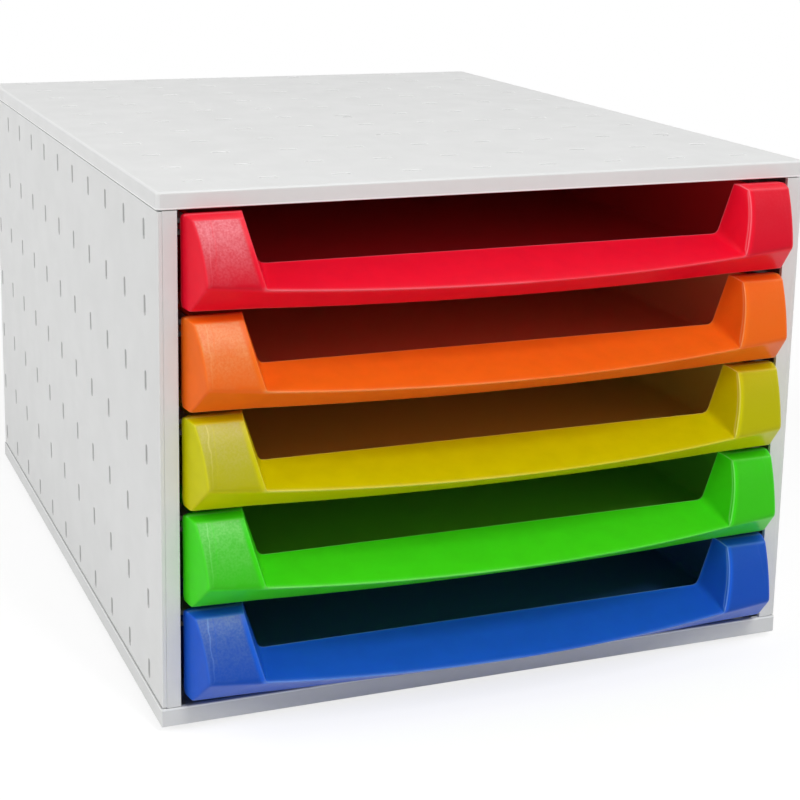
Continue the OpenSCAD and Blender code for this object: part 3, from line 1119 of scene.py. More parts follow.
@dataclass(frozen=True)
class FrontShape:
    """Rules that give a drawer front its form.

    Heights are above the front's lower edge at its sides, and out is the distance in front of the case.

    Attributes:
        height: Height of the front.
        lip_out: How far the lip stands out at mid-width.
        half_width: Half the width of the front.
        wall: Wall of the moulding.
        plate: How far the front reaches behind the case's front plane.
        post_out: How far the posts stand out at their foot.
        brow_out: How far the posts stand out at their top.
        post_foot: Width of a post at its foot.
        post_top: Width of a post at its top.
        chin: Height where the posts slope back underneath, at their outer side.
        ledge: Height of the ledge's rear edge.
        tip_middle: Height of the lip's tip at mid-width.
        sag: Sag of the lip's lower edge at mid-width.
        under_out: How far the lower edge stands out.
        under_drop: How far the lower edge drops at the inner side of the posts.
        brow_drop: How far the posts' top slopes down.
        brow_flat: Where that slope starts.
        cheek: Draft of the posts' outer sides.
        flare: How the hand opening widens outwards.
        bend_drop: Height of the face's bend below the top.
        bend_in: How far the bend stands behind the chin.
        corner_low: Radius of the lower outer corners in the front view.
        corner_top: Radius of the upper outer corners in the front view.
    """

    height: float
    lip_out: float
    half_width: float
    wall: float = 1.8 * MM
    plate: float = 2 * MM
    post_out: float = 17.5 * MM
    brow_out: float = 7.3 * MM
    post_foot: float = 31 * MM
    post_top: float = 24.5 * MM
    chin: float = 12 * MM
    ledge: float = 15.6 * MM
    tip_middle: float = 6.9 * MM
    sag: float = 2.4 * MM
    under_out: float = 4.5 * MM
    under_drop: float = 0.6 * MM
    brow_drop: float = 1.3 * MM
    brow_flat: float = 1.2 * MM
    cheek: float = 0.27
    flare: float = 0.25
    bend_drop: float = 11.3 * MM
    bend_in: float = 2.5 * MM
    corner_low: float = 2 * MM
    corner_top: float = 2 * MM

    @property
    def mouth_foot(self) -> float:
        """Half width of the hand opening at the ledge."""
        return self.half_width - self.post_foot

    @property
    def lean(self) -> float:
        """How the hand opening widens upwards."""
        return (self.post_foot - self.post_top) / (self.height - self.brow_drop - self.ledge)

    @property
    def arc_x(self) -> float:
        """Where the bowed lip meets the posts."""
        return self.wall_x(self.post_out, self.ledge_at(self.post_out))

    @property
    def chin_x(self) -> float:
        """Outer side of the chin."""
        return self.side_x(self.post_out)

    @property
    def ledge_slope(self) -> float:
        """Fall of the ledge towards its front."""
        return (self.ledge - self.tip_middle) / (self.lip_out + 1.5 * MM)

    def ledge_at(self, out: float) -> float:
        """Height of the ledge so far out."""
        return self.ledge - self.ledge_slope * (out + 1.5 * MM)

    def wall_x(self, out: float, z: float) -> float:
        """Place across of the hand opening's side wall."""
        return self.mouth_foot + self.lean * (z - self.ledge) + self.flare * (out + 1.5 * MM)

    def side_x(self, out: float) -> float:
        """Place across of a post's drafted outer side."""
        return self.half_width - self.cheek * (out + self.plate)

    def bow(self, x: float) -> float:
        """One at mid-width and zero from the posts outwards."""
        return max(0.0, 1.0 - (x / self.arc_x) ** 2)

    def to_side(self, x: float) -> float:
        """Zero at the inner side of the posts and one at their outer side."""
        return min(1.0, max(0.0, (abs(x) - self.arc_x) / (self.chin_x - self.arc_x)))

    def tip(self, x: float) -> Point2:
        """Outermost point of the front at x, as out and height."""
        out = self.post_out + (self.lip_out - self.post_out) * self.bow(x)
        return out, self.ledge_at(out) + (self.chin - self.ledge_at(self.post_out)) * self.to_side(x)

    def under(self, x: float) -> float:
        """Height of the lower edge at x."""
        return -self.under_drop * (1.0 - self.to_side(x)) - self.sag * self.bow(x)


@dataclass(frozen=True)
class HighlightLine:
    """One straight piece of a line of painted highlight.

    Attributes:
        start: One end.
        end: The other end.
        strength: How bright it is.
        reach: How far it fades.
        backed: Whether a wall stands behind the skin there.
    """

    start: Vector
    end: Vector
    strength: float
    reach: float
    backed: bool


@dataclass(frozen=True)
class Skins:
    """Outer and inner skin of a front, as grids of points, with the lines of painted highlight.

    Attributes:
        outer: Columns of the outer skin, from the left to the right.
        inner: The same columns on the inner skin.
        bright: Pieces of the lines of painted highlight.
    """

    outer: list[list[Vector]]
    inner: list[list[Vector]]
    bright: list[HighlightLine]


class FrontSkin:
    """Builds the two skins of a drawer front from its rules.

    Columns run across, rows follow the side view from the rear of the underside over the front to
    the rear of the top. Rows next to a crease hold it tight when the skin is subdivided.
    """

    # Rows between the corners of the side view, as shares of the way from each corner to the next.
    LIP_ROWS = ((0.0, 0.06, 0.85), (0.0, 0.05, 0.35, 0.65, 0.83, 0.93))
    CHIN_ROWS = ((0.0, 0.06, 0.85), (0.0, 0.05, 0.3, 0.55, 0.73, 0.87))
    BEND_SHARES = (0.14, 0.28, 0.42, 0.56, 0.7, 0.85)
    BEND_ROWS = ((0.0, 0.7), (0.0,), (0.0,), (0.0,), (0.0,), (0.0,), (0.0, 0.4, 0.8))
    FACE_ROWS = (*BEND_ROWS, (0.0, 0.14, 0.88), (0.0, 0.8))
    LEDGE_ROWS = (
        (0.0, 0.055, 0.12, 0.2, 0.28, 0.36, 0.45, 0.54, 0.63, 0.72, 0.8, 0.86, 0.92, 0.96, 0.985),
    )

    def __init__(self, shape: FrontShape, fillet: float = 3 * MM) -> None:
        """Prepares the skins.

        Args:
            shape: The rules of the form.
            fillet: Width of the posts' inner edge at its foot.
        """
        self.shape = shape
        self.fillet = fillet
        self.tip_row = sum(len(shares) for shares in self.LIP_ROWS)
        self.brow_row = self.tip_row + sum(len(shares) for shares in self.BEND_ROWS)

    def under_keys(self, x: float) -> list[Point2]:
        """Corners of the side view of the underside and the sloping chin, up to the tip.

        Args:
            x: Place across.

        Returns:
            The corners from the rear to the tip.
        """
        s = self.shape
        under = s.under(x)
        return [(-s.plate, under), (s.under_out, under), s.tip(x)]

    def face_keys(self, x: float) -> list[Point2]:
        """Corners of the side view of a post's bent face and top, behind the tip.

        Args:
            x: Place across.

        Returns:
            The corners up to the rear of the top.
        """
        s = self.shape
        tip = s.tip(x)
        bend = (tip[0] - s.bend_in, s.height - s.bend_drop)
        brow = (s.brow_out, s.height - s.brow_drop)
        face = [between(between(tip, bend, t), between(bend, brow, t), t) for t in self.BEND_SHARES]
        return face + [brow, (s.brow_flat, s.height), (-s.plate, s.height)]

    def line(self, keys: list[Point2], plan: Sequence[Sequence[float]], depth: float) -> list[Point2]:
        """Side view of a skin so far behind the outer one, with all its rows.

        Args:
            keys: Corners of the outer skin's side view.
            plan: Places of the rows between each two corners.
            depth: Distance behind the outer skin.

        Returns:
            A point for each row.
        """
        if depth:
            keys = inset_line(keys, depth)
            keys[0] = (keys[0][0], depth)
        rows = [between(keys[k], keys[k + 1], t) for k, shares in enumerate(plan) for t in shares]
        return rows + [keys[-1]]

    def edge_widths(self, line: Sequence[Point2], depth: float) -> list[float]:
        """Places across of the hand opening's side wall along a side view.

        Args:
            line: The side view.
            depth: Distance behind the outer skin.

        Returns:
            The place across for each row.
        """
        s = self.shape
        grow = depth * math.sqrt(1 + s.lean ** 2 + s.flare ** 2)
        widths = [s.wall_x(*p) + grow for p in line]
        return [widths[self.tip_row]] * self.tip_row + widths[self.tip_row:]

    def mouth_column(self, m: float, depth: float) -> list[Vector]:
        """Column of the lip and ledge.

        Args:
            m: Place across, 1 at the side wall of the hand opening.
            depth: Distance behind the outer skin.

        Returns:
            The column's points as across, out and height.
        """
        s = self.shape
        x = m * s.arc_x
        keys = [*self.under_keys(x), (-s.plate, s.ledge_at(-s.plate))]
        soft = min(1.0, max(0.0, (m - 0.8) / 0.2))
        low = tuple(between(a, b, soft) for a, b in zip(self.LIP_ROWS, self.CHIN_ROWS))
        line = self.line(keys, low + self.LEDGE_ROWS, depth)
        return [Vector((m * w, *p)) for w, p in zip(self.edge_widths(line, depth), line)]

    def post_column(self, share: float, depth: float) -> list[Vector]:
        """Column of a post.

        Args:
            share: Place across, 0 at the hand opening and 1 at the outer side.
            depth: Distance behind the outer skin.

        Returns:
            The column's points as across, out and height.
        """
        s = self.shape
        x = s.arc_x + (s.chin_x - s.arc_x) * share
        line = self.line(self.under_keys(x) + self.face_keys(x), self.CHIN_ROWS + self.FACE_ROWS, depth)
        near = self.edge_widths(line, depth)
        return [Vector((n + (s.side_x(p[0]) - depth - n) * share, *p)) for n, p in zip(near, line)]

    def wall_columns(self, foot: list[Vector], edge: list[Vector]) -> list[list[Vector]]:
        """Columns of the hand opening's side wall, close together at the narrowing inner edge.

        Args:
            foot: Column where the wall meets the ledge.
            edge: Column where the wall meets the post's face.

        Returns:
            The columns between both.
        """
        columns = [[a.lerp(b, t) for a, b in zip(foot, edge)] for t in (0.14, 0.25)]
        for extra, least in ((1.2 * MM, 0.32), (0.45 * MM, 0.4), (0.0, 0.5), (-0.45 * MM, 0.7)):
            column = []
            for j, (a, b) in enumerate(zip(foot, edge)):
                length = (b - a).length
                narrow = max(0.0, 1.0 - max(0, j - self.tip_row) / (self.brow_row - self.tip_row))
                away = self.fillet * narrow + 0.7 * MM + extra
                column.append(a.lerp(b, max(least, 1.0 - away / length)) if length > 0.0 else b.copy())
            columns.append(column)
        return columns

    def rounded(self, column: list[Vector], depth: float) -> list[Vector]:
        """Column with the front's outer corners rounded in the front view.

        Args:
            column: The column's points.
            depth: Distance behind the outer skin.

        Returns:
            The points, moved in where they lay outside the round corners.
        """
        s = self.shape
        result = []
        for p in column:
            for radius, sign in ((s.corner_low, -1), (s.corner_top, 1)):
                middle = (s.half_width - radius, s.height - radius if sign > 0 else radius)
                dx, dz = p.x - middle[0], p.z - middle[1]
                reach = max(radius - depth, 0.2 * MM)
                gap = math.hypot(dx, dz)
                if dx > 0 and dz * sign > 0 and gap > reach:
                    p = Vector((middle[0] + dx * reach / gap, p.y, middle[1] + dz * reach / gap))
            result.append(p)
        return result

    def cheek_columns(self, shares: Sequence[float], depth: float) -> list[list[Vector]]:
        """Columns of a post's outer side, from its front crease to its rear edge.

        Args:
            shares: How far each column lies towards the rear edge.
            depth: Distance behind the outer skin.

        Returns:
            The columns.
        """
        s = self.shape
        crease = self.post_column(1.0, depth)
        lengths = [0.0]
        for a, b in zip(crease, crease[1:]):
            lengths.append(lengths[-1] + math.dist(a[1:], b[1:]))
        low, high = crease[0].z, crease[-1].z
        columns = []
        for share in shares:
            column = []
            for point, length in zip(crease, lengths):
                rear = (-s.plate, low + (high - low) * length / lengths[-1])
                out, z = between(point[1:], rear, share)
                column.append(Vector((s.side_x(out) - depth, out, z)))
            columns.append(column)
        return columns

    def half(self, depth: float) -> tuple[list[list[Vector]], dict[str, int]]:
        """Columns from mid-width to the right.

        Args:
            depth: Distance behind the outer skin.

        Returns:
            The columns, and the index of the column at each crease.
        """
        arc = [math.sin(math.pi / 2 * k / 16) for k in range(14)]
        mouth = [self.mouth_column(m, depth) for m in arc + [0.965, 1.0]]
        marks = {"foot": len(mouth) - 1}
        walls = self.wall_columns(mouth[-1], self.post_column(0.0, depth))
        marks["edge"] = len(mouth) + len(walls)
        shares = (0.0, 0.018, 0.06, 0.12, 0.25, 0.45, 0.65, 0.79, 0.88, 0.94, 1.0)
        posts = [self.post_column(t, depth) for t in shares]
        marks["crease"] = marks["edge"] + len(posts) - 1
        cheeks = self.cheek_columns((0.1, 0.3, 0.6, 0.9, 0.965, 1.0), depth)
        return [self.rounded(c, depth) for c in mouth + walls + posts + cheeks], marks

    def skins(self) -> Skins:
        """Both skins and the lines of painted highlight.

        Returns:
            The skins.
        """
        right, marks = self.half(0.0)
        grids = []
        for half in (right, self.half(self.shape.wall)[0]):
            left = [[Vector((-p.x, p.y, p.z)) for p in column] for column in half[:0:-1]]
            grids.append(left + half)
        tip, brow = self.tip_row, self.brow_row
        last = len(right[0]) - 1
        bright = []

        def glow(a: Vector, b: Vector, left: float, strength: float, reach: float, backed: bool) -> None:
            """Notes one piece of a painted highlight line on the right, and its mirror image on the left.
            """
            bright.append(HighlightLine(a, b, strength, reach, backed))
            mirrored = [Vector((-p.x, p.y, p.z)) for p in (a, b)]
            bright.append(HighlightLine(*mirrored, strength * left, reach, backed))

        def along(
            column: int, first: int, end: int, left: float, strength: float, reach: float,
            backed: bool = False,
        ) -> None:
            """Notes a painted highlight line that follows a column."""
            for j in range(first, end):
                glow(right[column][j], right[column][j + 1], left, strength, reach, backed)

        def across(
            row: int, first: int, end: int, left: float, strength: float, reach: float, backed: bool = False
        ) -> None:
            """Notes a painted highlight line that follows a row."""
            for i in range(first, end):
                glow(right[i][row], right[i + 1][row], left, strength, reach, backed)

        edge, crease, foot = marks["edge"], marks["crease"], marks["foot"]
        # Painted highlights along the lip, the rear edge, the brows and the creases, each with its own
        # strength on the left.
        across(tip, 0, foot, 2.0, 0.2, 1.1 * MM)
        across(last, 0, crease, 0.8, 0.85, 0.4 * MM, backed=True)
        across(3, 0, crease, 1.0, 0.3, 0.5 * MM)
        across(brow, edge, crease, 1.0, 0.2, 0.6 * MM)
        across(brow + 3, edge, crease, 1.0, 0.6, 0.4 * MM, backed=True)
        along(edge, tip, last, 0.35, 0.55, 0.3 * MM, backed=True)
        along(edge - 2, tip, brow, 0.35, 0.45, 0.3 * MM)
        along(crease, tip, brow, 1.0, 0.1, 0.7 * MM)
        along(len(right) - 1, 0, last, 1.0, 0.35, 0.5 * MM)
        return Skins(grids[0], grids[1], bright)

    def mesh(self, skins: Skins) -> bpy.types.Mesh:
        """Closed shell between both skins.

        Args:
            skins: The two skins.

        Returns:
            The mesh before it is subdivided.
        """
        shape = bmesh.new()
        known: dict[tuple[int, ...], bmesh.types.BMVert] = {}

        def vertex(p: Vector) -> bmesh.types.BMVert:
            """The one vertex at a place."""
            key = tuple(round(c * 2e6) for c in p)
            if key not in known:
                known[key] = shape.verts.new(p)
            return known[key]

        def face(*points: Vector) -> None:
            """Face through points, of which some may coincide."""
            corners = list(dict.fromkeys(vertex(p) for p in points))
            if len(corners) > 2 and shape.faces.get(corners) is None:
                shape.faces.new(corners)

        outer, inner = skins.outer, skins.inner
        columns, rows = len(outer), len(outer[0])
        for i in range(columns - 1):
            for j in range(rows - 1):
                face(outer[i][j], outer[i + 1][j], outer[i + 1][j + 1], outer[i][j + 1])
                face(inner[i][j], inner[i][j + 1], inner[i + 1][j + 1], inner[i + 1][j])
            for j in (0, rows - 1):
                face(outer[i][j], inner[i][j], inner[i + 1][j], outer[i + 1][j])
        for i in (0, columns - 1):
            for j in range(rows - 1):
                face(outer[i][j], outer[i][j + 1], inner[i][j + 1], inner[i][j])
        bmesh.ops.recalc_face_normals(shape, faces=shape.faces)
        open_edges = sum(1 for e in shape.edges if len(e.link_faces) != 2)
        LOG.info("front shell: %d faces, %d open edges", len(shape.faces), open_edges)
        return mesh_from("front_shell", shape)


@dataclass(frozen=True)
class Tray:
    """The open tray behind a drawer front.

    Attributes:
        front: Where the tray starts, as y.
        back: Outer face of its rear wall, as y.
        height: Height of its walls.
        half_width: Half its width.
        wall: Its wall.
        flange: How far the sliding flange stands out.
        flange_low: Height of the flange's underside.
        flange_thick: Thickness of the flange.
        tab: How far the stop tabs stand out.
        tab_length: Length of a stop tab.
        tab_low: Lower side of a stop tab.
        tab_high: Upper side of a stop tab.
        round_floor: Radius between the floor and the walls inside.
        soft_edge: Width of the bevels on the tray's edges.
        soft_tab: Width of the bevels on a stop tab.
    """

    front: float
    back: float
    height: float
    half_width: float = 126.3 * MM
    wall: float = 1.8 * MM
    flange: float = 5.7 * MM
    flange_low: float = 29.96 * MM
    flange_thick: float = 2 * MM
    tab: float = 4.6 * MM
    tab_length: float = 2.9 * MM
    tab_low: float = 22.66 * MM
    tab_high: float = 27.36 * MM
    round_floor: float = 2.5 * MM
    soft_edge: float = 0.35 * MM
    soft_tab: float = 0.3 * MM

    def section(self) -> list[Point2]:
        """Half of the tray's cross-section, from mid-width outwards and back along the inside."""
        inner = self.half_width - self.wall
        arc = []
        for k in range(5):
            a = math.pi / 2 * k / 4
            arc.append((
                inner - self.round_floor * (1 - math.cos(a)),
                self.wall + self.round_floor * (1 - math.sin(a)),
            ))
        top = self.flange_low + self.flange_thick
        return [
            (0.0, 0.0),
            (self.half_width, 0.0),
            (self.half_width, self.flange_low),
            (self.half_width + self.flange, self.flange_low),
            (self.half_width + self.flange, top),
            (self.half_width, top),
            (self.half_width, self.height),
            (inner, self.height),
            *arc,
            (0.0, self.wall),
        ]

    def mesh(self) -> bpy.types.Mesh:
        """The tray as one closed mesh, open at the top.

        Returns:
            The mesh in the drawer's own heights.
        """
        half = self.section()
        ring = half[1:-1] + [(-x, z) for x, z in half[-2:0:-1]]
        rim = half.index((self.half_width - self.wall, self.height)) - 1
        shape = bmesh.new()
        stations = [self.front, self.back - self.wall, self.back]
        rings = [[shape.verts.new((x, y, z)) for x, z in ring] for y in stations]
        count = len(ring)
        inside = list(range(rim, count - rim))
        for near, far in zip(rings, rings[1:]):
            last = far is rings[-1]
            for k in range(count):
                n = (k + 1) % count
                if last and rim <= k < count - 1 - rim:
                    continue
                shape.faces.new((near[k], near[n], far[n], far[k]))
        end = rings[-1]
        pocket = rings[1]
        shape.faces.new([pocket[k] for k in inside])
        shape.faces.new((pocket[rim], end[rim], end[count - 1 - rim], pocket[count - 1 - rim]))
        shape.faces.new(rings[0][::-1])
        shape.faces.new([*end[: rim + 1], *end[count - 1 - rim : count]])
        loose = [v for v in shape.verts if not v.link_edges]
        bmesh.ops.delete(shape, geom=loose, context="VERTS")
        bmesh.ops.recalc_face_normals(shape, faces=shape.faces)
        sharp = [e for e in shape.edges if len(e.link_faces) == 2 and e.calc_face_angle() > 0.9]
        bmesh.ops.bevel(
            shape, geom=sharp, offset=self.soft_edge, offset_type="OFFSET", segments=2, profile=0.5,
            affect="EDGES", clamp_overlap=True,
        )
        LOG.info("tray: %d faces", len(shape.faces))
        return mesh_from("tray", shape)

    def tabs(self) -> list[bpy.types.Mesh]:
        """Stop tabs at both sides of the tray's rear end.

        Returns:
            One mesh for each side.
        """
        meshes = []
        for sign in (-1, 1):
            shape = bmesh.new()
            bmesh.ops.create_cube(shape, size=1.0)
            width = self.tab + self.wall / 2
            size = (width, self.tab_length, self.tab_high - self.tab_low)
            middle = (
                sign * (self.half_width + self.tab - width / 2),
                self.back - self.tab_length / 2,
                (self.tab_low + self.tab_high) / 2,
            )
            bmesh.ops.scale(shape, vec=size, verts=shape.verts)
            bmesh.ops.translate(shape, vec=middle, verts=shape.verts)
            bmesh.ops.bevel(
                shape, geom=shape.edges[:], offset=self.soft_tab, offset_type="OFFSET", segments=2,
                profile=0.5, affect="EDGES",
            )
            meshes.append(mesh_from("tab", shape))
        return meshes


@dataclass
class Drawers:
    """The five drawers, one moulding in five colours.

    Attributes:
        drop: How far the lip's lower edge hangs below a front's own zero.
        rim_drop: How much lower the tray's walls are than the front.
        tray_start: How far behind the case's front the tray's thin colour starts.
        frost: How strong the frost with painted sheen is on the left and the right post faces.
        sheen_low: Height above a front's zero where the painted sheen starts to rise.
        sheen_high: Height from which the painted sheen is full.
        chin_top: Height from which a post's face has frost and painted sheen.
        frost_out: How far in front of the case the faces with frost and painted sheen start.
        line_reach: How far behind the case's front the painted highlight lines are looked for.
        backed_light_share: How much of the painted light of the backed colour shows.
        finishes: The plastic of each drawer.
    """

    drop: float = 3 * MM
    rim_drop: float = 3.2 * MM
    tray_start: float = 2 * MM
    frost: tuple[float, float] = (0.75, 0.05)
    sheen_low: float = 13 * MM
    sheen_high: float = 32 * MM
    chin_top: float = 12 * MM
    frost_out: float = 4 * MM
    line_reach: float = 3 * MM
    backed_light_share: float = 0.7
    finishes: dict[Tint, ClearPlastic] = field(default_factory=lambda: {
        Tint.RED: ClearPlastic(
            "clear_red",
            colour=(0.94, 0.005, 0.028),
            backed=(1.0, 0.008, 0.034),
            haze=(0.98, 0.32, 0.37),
            rim=(1.0, 0.34, 0.40),
            thin=(0.78, 0.045, 0.055),
        ),
        Tint.ORANGE: ClearPlastic(
            "clear_orange",
            colour=(1.0, 0.165, 0.010),
            backed=(1.0, 0.19, 0.012),
            haze=(1.0, 0.48, 0.20),
            rim=(1.0, 0.55, 0.24),
            thin=(1.0, 0.42, 0.19),
            upright=0.88,
        ),
        Tint.YELLOW: ClearPlastic(
            "clear_yellow",
            colour=(0.66, 0.63, 0.0),
            backed=(0.70, 0.66, 0.002),
            haze=(0.62, 0.56, 0.18),
            rim=(0.94, 0.90, 0.28),
            thin=(0.76, 0.72, 0.13),
        ),
        Tint.GREEN: ClearPlastic(
            "clear_green",
            colour=(0.058, 0.76, 0.010),
            backed=(0.05, 0.80, 0.006),
            haze=(0.24, 0.76, 0.18),
            rim=(0.42, 0.95, 0.34),
            thin=(0.18, 0.62, 0.06),
        ),
        Tint.BLUE: ClearPlastic(
            "clear_blue",
            colour=(0.012, 0.108, 0.66),
            backed=(0.012, 0.14, 0.82),
            haze=(0.15, 0.24, 0.52),
            rim=(0.32, 0.54, 1.0),
            thin=(0.06, 0.16, 0.48),
        ),
    })

    def moulding(self) -> bpy.types.Mesh:
        """The drawer that all five share, with its zero at the front's lower edge.

        Returns:
            The mesh, with the attributes that its finish reads.
        """
        low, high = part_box(Tint.RED.node)
        case_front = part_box("top_cover")[0].y
        shape = FrontShape(high.z - low.z - self.drop, case_front - low.y, high.x)
        skin = FrontSkin(shape)
        skins = skin.skins()
        front = new_piece("front_draft", skin.mesh(skins))
        smooth = front.modifiers.new("smooth", "SUBSURF")
        smooth.levels = smooth.render_levels = 1
        front_mesh = settled(front)
        front_mesh.transform(self.outwards(case_front))
        front_mesh.flip_normals()
        tray = Tray(front=case_front + shape.plate / 2, back=high.y, height=shape.height - self.rim_drop)
        mesh = united(front_mesh, [tray.mesh(), *tray.tabs()])
        self.paint_edge_highlights(mesh, skins, case_front, shape.wall)
        self.mark_inside(mesh, tray)
        mesh.shade_smooth()
        mesh.set_sharp_from_angle(angle=math.radians(48))
        return mesh

    @staticmethod
    def mark_inside(mesh: bpy.types.Mesh, tray: Tray) -> None:
        """Stores which faces lie inside the tray.

        Args:
            mesh: The drawer's mesh, with its zero at the front's lower edge.
            tray: The tray behind the front.
        """
        x, y, z = vectors(mesh.polygons, "center").T
        half = tray.wall / 2
        within = (np.abs(x) < tray.half_width - half) & (z > half) & (z < tray.height - half)
        within &= (y > tray.front + half) & (y < tray.back - half)
        store(mesh, INSIDE, "FACE", within)

    @staticmethod
    def outwards(case_front: float) -> Matrix:
        """Matrix from across, out and height to the part's own axes."""
        return Matrix(((1, 0, 0, 0), (0, -1, 0, case_front), (0, 0, 1, 0), (0, 0, 0, 1)))

    def paint_edge_highlights(self, mesh: bpy.types.Mesh, skins: Skins, case_front: float, wall: float) -> None:
        """Stores the painted edge highlight at each point, and how much wall stands behind the skin for the
        painted light there.

        Args:
            mesh: The drawer's mesh.
            skins: Skins with the painted highlight lines.
            case_front: The case's front plane.
            wall: Wall of the moulding.
        """
        places = vectors(mesh.vertices, "co")
        turn = self.outwards(case_front)
        near_front = places[:, 1] < case_front + self.line_reach
        points = places[near_front]
        best_highlight = np.zeros(len(points))
        best_gap = np.full(len(points), 1.0)
        for light in skins.bright:
            start, end = np.array(turn @ light.start), np.array(turn @ light.end)
            line = end - start
            length = float(line @ line)
            if length < 1e-12:
                continue
            t = np.clip((points - start) @ line / length, 0.0, 1.0)
            gap = np.linalg.norm(points - start - t[:, None] * line, axis=1)
            best_highlight = np.maximum(best_highlight, light.strength * np.exp(-((gap / light.reach) ** 2)))
            if light.backed:
                best_gap = np.minimum(best_gap, gap)
        glow = np.zeros(len(places))
        glow[near_front] = best_highlight
        backed = np.zeros(len(places))
        backed[near_front] = np.clip((1.3 * wall - best_gap) / (0.6 * wall), 0.0, 1.0)
        store(mesh, EDGE_HIGHLIGHT, "POINT", glow)
        store(mesh, BACKED_LIGHT, "POINT", self.backed_light_share * backed)
        self.paint_post_sheen_and_shade(mesh, case_front, 1.0 - backed)

    def paint_post_sheen_and_shade(self, mesh: bpy.types.Mesh, case_front: float, free: np.ndarray) -> None:
        """Stores the frost with painted sheen of the posts, and the painted shade of the upright skin, at
        each point.

        Args:
            mesh: The drawer's mesh.
            case_front: The case's front plane.
            free: How little wall stands behind the skin at each point.
        """
        x, y, z = vectors(mesh.vertices, "co").T
        across, along, up = vectors(mesh.vertices, "normal").T
        # Painted sheen: rising towards the top of the face and stronger on the left posts.
        height = np.clip((z - self.sheen_low) / (self.sheen_high - self.sheen_low), 0.0, 1.0)
        face = (along < -0.7) & (np.abs(across) < 0.3)
        face &= (z > self.chin_top) & (y < case_front - self.frost_out)
        haze = face * free * (0.15 + 0.85 * height) * np.where(x < 0.0, *self.frost)
        # Painted shade on the upright outer faces.
        upright = np.clip((-along - 0.6) / 0.3, 0.0, 1.0) * np.clip(3.0 + 5.0 * up, 0.0, 1.0)
        upright *= np.clip((0.5 - np.abs(across)) / 0.3, 0.0, 1.0)
        store(mesh, FROST_AND_SHEEN, "POINT", haze)
        store(mesh, UPRIGHT_SHADE, "POINT", upright)

    def build(self) -> None:
        """Makes the five drawers in their places."""
        moulding = self.moulding()
        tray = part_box("top_cover")[0].y + self.tray_start
        for tint, finish in self.finishes.items():
            mesh = moulding.copy()
            mesh.transform(Matrix.Translation((0.0, 0.0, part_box(tint.node)[0].z + self.drop)))
            piece = new_piece(f"{tint.value}_drawer_moulding", mesh)
            fitted(piece, tint.body, tint.node, finish.material(tray))
        bpy.data.meshes.remove(moulding)


# ------------------------------------------------------------------ studio


@dataclass(frozen=True)
class SoftBox:
    """One soft studio lamp.

    Attributes:
        name: Name of the lamp.
        place: Where it hangs.
        target: What it points at.
        width: Its width.
        height: Its height.
        power: Its power in watts.
    """

    name: str
    place: tuple[float, float, float]
    target: tuple[float, float, float]
    width: float
    height: float
    power: float

    def build(self) -> None:
        """Hangs the lamp."""
        data = bpy.data.lights.new(self.name, "AREA")
        data.shape = "RECTANGLE"
        data.size = self.width
        data.size_y = self.height
        data.energy = self.power
        lamp = bpy.data.objects.new(self.name, data)
        bpy.context.scene.collection.objects.link(lamp)
        lamp.location = self.place
        aim = Vector(self.target) - Vector(self.place)
        lamp.rotation_euler = aim.to_track_quat("-Z", "Y").to_euler()


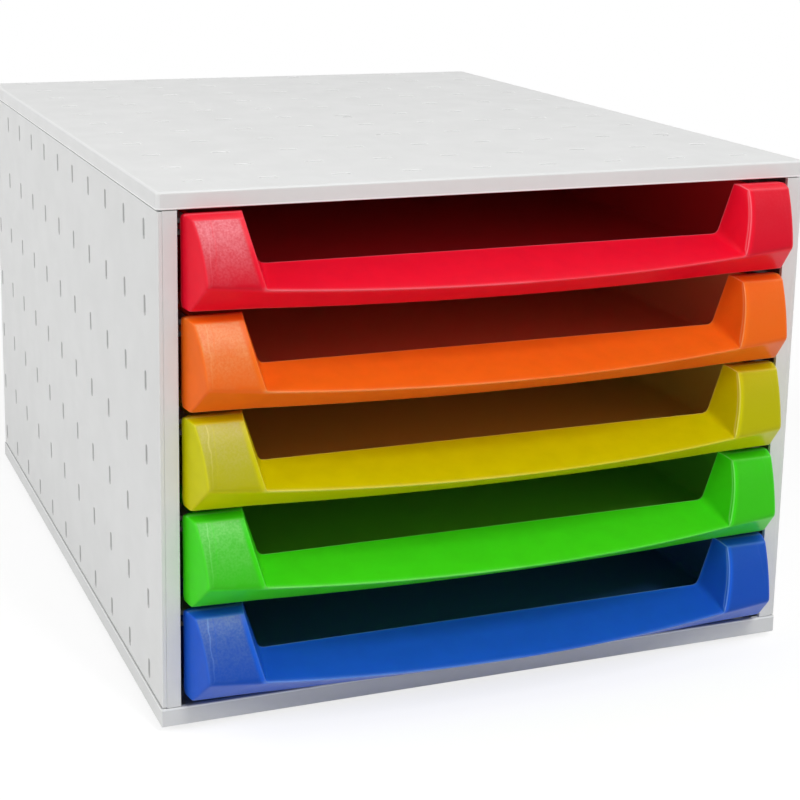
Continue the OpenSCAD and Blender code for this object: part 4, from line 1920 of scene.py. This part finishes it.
@dataclass(frozen=True)
class Studio:
    """Pale floor, white surroundings, soft lamps and the camera.

    Attributes:
        sky: Strength of the surroundings' light.
        floor_half: Half the floor's width.
        near: Distance from the middle up to which the floor shows the shadow fully.
        far: Distance from which it is plain white.
        paint: Paint of the floor, as the object is lit by it.
        shadowed: The part of its shown brightness that takes the shadow.
        floor_glow: The part of its shown brightness that doesn't.
        lens: Focal length of the camera in millimetres.
        shift: Shift of the camera to the right and up.
        stand: Place of the camera.
        turn: Rotation of the camera in degrees.
        lamps: The soft lamps.
    """

    sky: float = 0.31
    floor_half: float = 4.0
    near: float = 0.3
    far: float = 0.75
    paint: tuple[float, float, float, float] = (0.8, 0.8, 0.8, 1.0)
    shadowed: tuple[float, float, float, float] = (0.28, 0.28, 0.28, 1.0)
    floor_glow: float = 0.78
    lens: float = 80.56
    shift: Point2 = (0.025, -0.1625)
    stand: tuple[float, float, float] = (-0.30306, -0.80764, 0.33391)
    turn: tuple[float, float, float] = (77.572, -0.911, -21.228)
    lamps: tuple[SoftBox, ...] = (
        SoftBox("front_strip", (0.25, -1.35, 1.55), (-0.1, -0.17, 0.1), 0.4, 0.9, 18.0),
        SoftBox("left", (-1.55, 0.1, 1.1), (-0.1, 0.0, 0.1), 1.1, 1.1, 14.2),
        SoftBox("right", (1.6, 0.1, 1.0), (0.1, 0.0, 0.1), 1.2, 1.2, 4.0),
    )

    @staticmethod
    def seen(nodes: Nodes) -> Socket:
        """One for rays that show the background, straight or by gloss or glass."""
        path = nodes.add("ShaderNodeLightPath").outputs
        direct = nodes.math("MAXIMUM", path["Is Camera Ray"], path["Is Glossy Ray"])
        return nodes.math("MAXIMUM", direct, path["Is Transmission Ray"])

    def surroundings(self) -> None:
        """Lights the scene evenly and shows white behind the object."""
        world = bpy.data.worlds.new("studio")
        bpy.context.scene.world = world
        nodes = emptied(world)
        light = nodes.add("ShaderNodeBackground", {"Color": WHITE, "Strength": self.sky})
        white = nodes.add("ShaderNodeBackground", {"Color": WHITE, "Strength": 1.0})
        seen = self.seen(nodes)
        both = nodes.add("ShaderNodeMixShader", {0: seen, 1: light.outputs[0], 2: white.outputs[0]})
        nodes.add("ShaderNodeOutputWorld", {"Surface": both.outputs[0]})

    def floor(self) -> None:
        """Lays the pale floor, which shows white around the object's soft shadow."""
        shape = bmesh.new()
        bmesh.ops.create_grid(shape, x_segments=1, y_segments=1, size=self.floor_half)
        piece = new_piece("floor", mesh_from("floor", shape))
        material = bpy.data.materials.new("floor")
        nodes = emptied(material)
        paint = nodes.add("ShaderNodeBsdfDiffuse", {"Color": self.paint})
        place = nodes.add("ShaderNodeTexCoord").outputs["Object"]
        distance = nodes.add("ShaderNodeVectorMath", {0: place}, operation="LENGTH").outputs["Value"]
        outside = nodes.step(distance, self.near, self.far)
        bright = nodes.add("ShaderNodeBsdfDiffuse", {"Color": self.shadowed})
        glow = nodes.add("ShaderNodeEmission", {"Color": WHITE, "Strength": self.floor_glow})
        shown = nodes.add("ShaderNodeAddShader", {0: bright.outputs[0], 1: glow.outputs[0]})
        white = nodes.add("ShaderNodeEmission", {"Color": WHITE, "Strength": 1.0})
        shown = nodes.add("ShaderNodeMixShader", {0: outside, 1: shown.outputs[0], 2: white.outputs[0]})
        seen = self.seen(nodes)
        both = nodes.add("ShaderNodeMixShader", {0: seen, 1: paint.outputs[0], 2: shown.outputs[0]})
        nodes.add("ShaderNodeOutputMaterial", {"Surface": both.outputs[0]})
        piece.data.materials.append(material)

    def camera(self) -> None:
        """Sets the camera at the photograph's viewing angle."""
        data = bpy.data.cameras.new("camera")
        data.sensor_width = 36.0
        data.lens = self.lens
        data.shift_x, data.shift_y = self.shift
        camera = bpy.data.objects.new("camera", data)
        bpy.context.scene.collection.objects.link(camera)
        camera.location = self.stand
        camera.rotation_euler = Euler([math.radians(a) for a in self.turn], "XYZ")
        bpy.context.scene.camera = camera

    def build(self) -> None:
        """Sets up the studio."""
        bpy.context.scene.view_settings.view_transform = "Standard"
        self.camera()
        self.surroundings()
        self.floor()
        for lamp in self.lamps:
            lamp.build()


def main() -> None:
    """Builds the studio and the tower."""
    logging.basicConfig(level=logging.INFO, format="%(name)s: %(message)s")
    Studio().build()
    Case().build()
    Drawers().build()


if __name__ == "__main__":
    main()
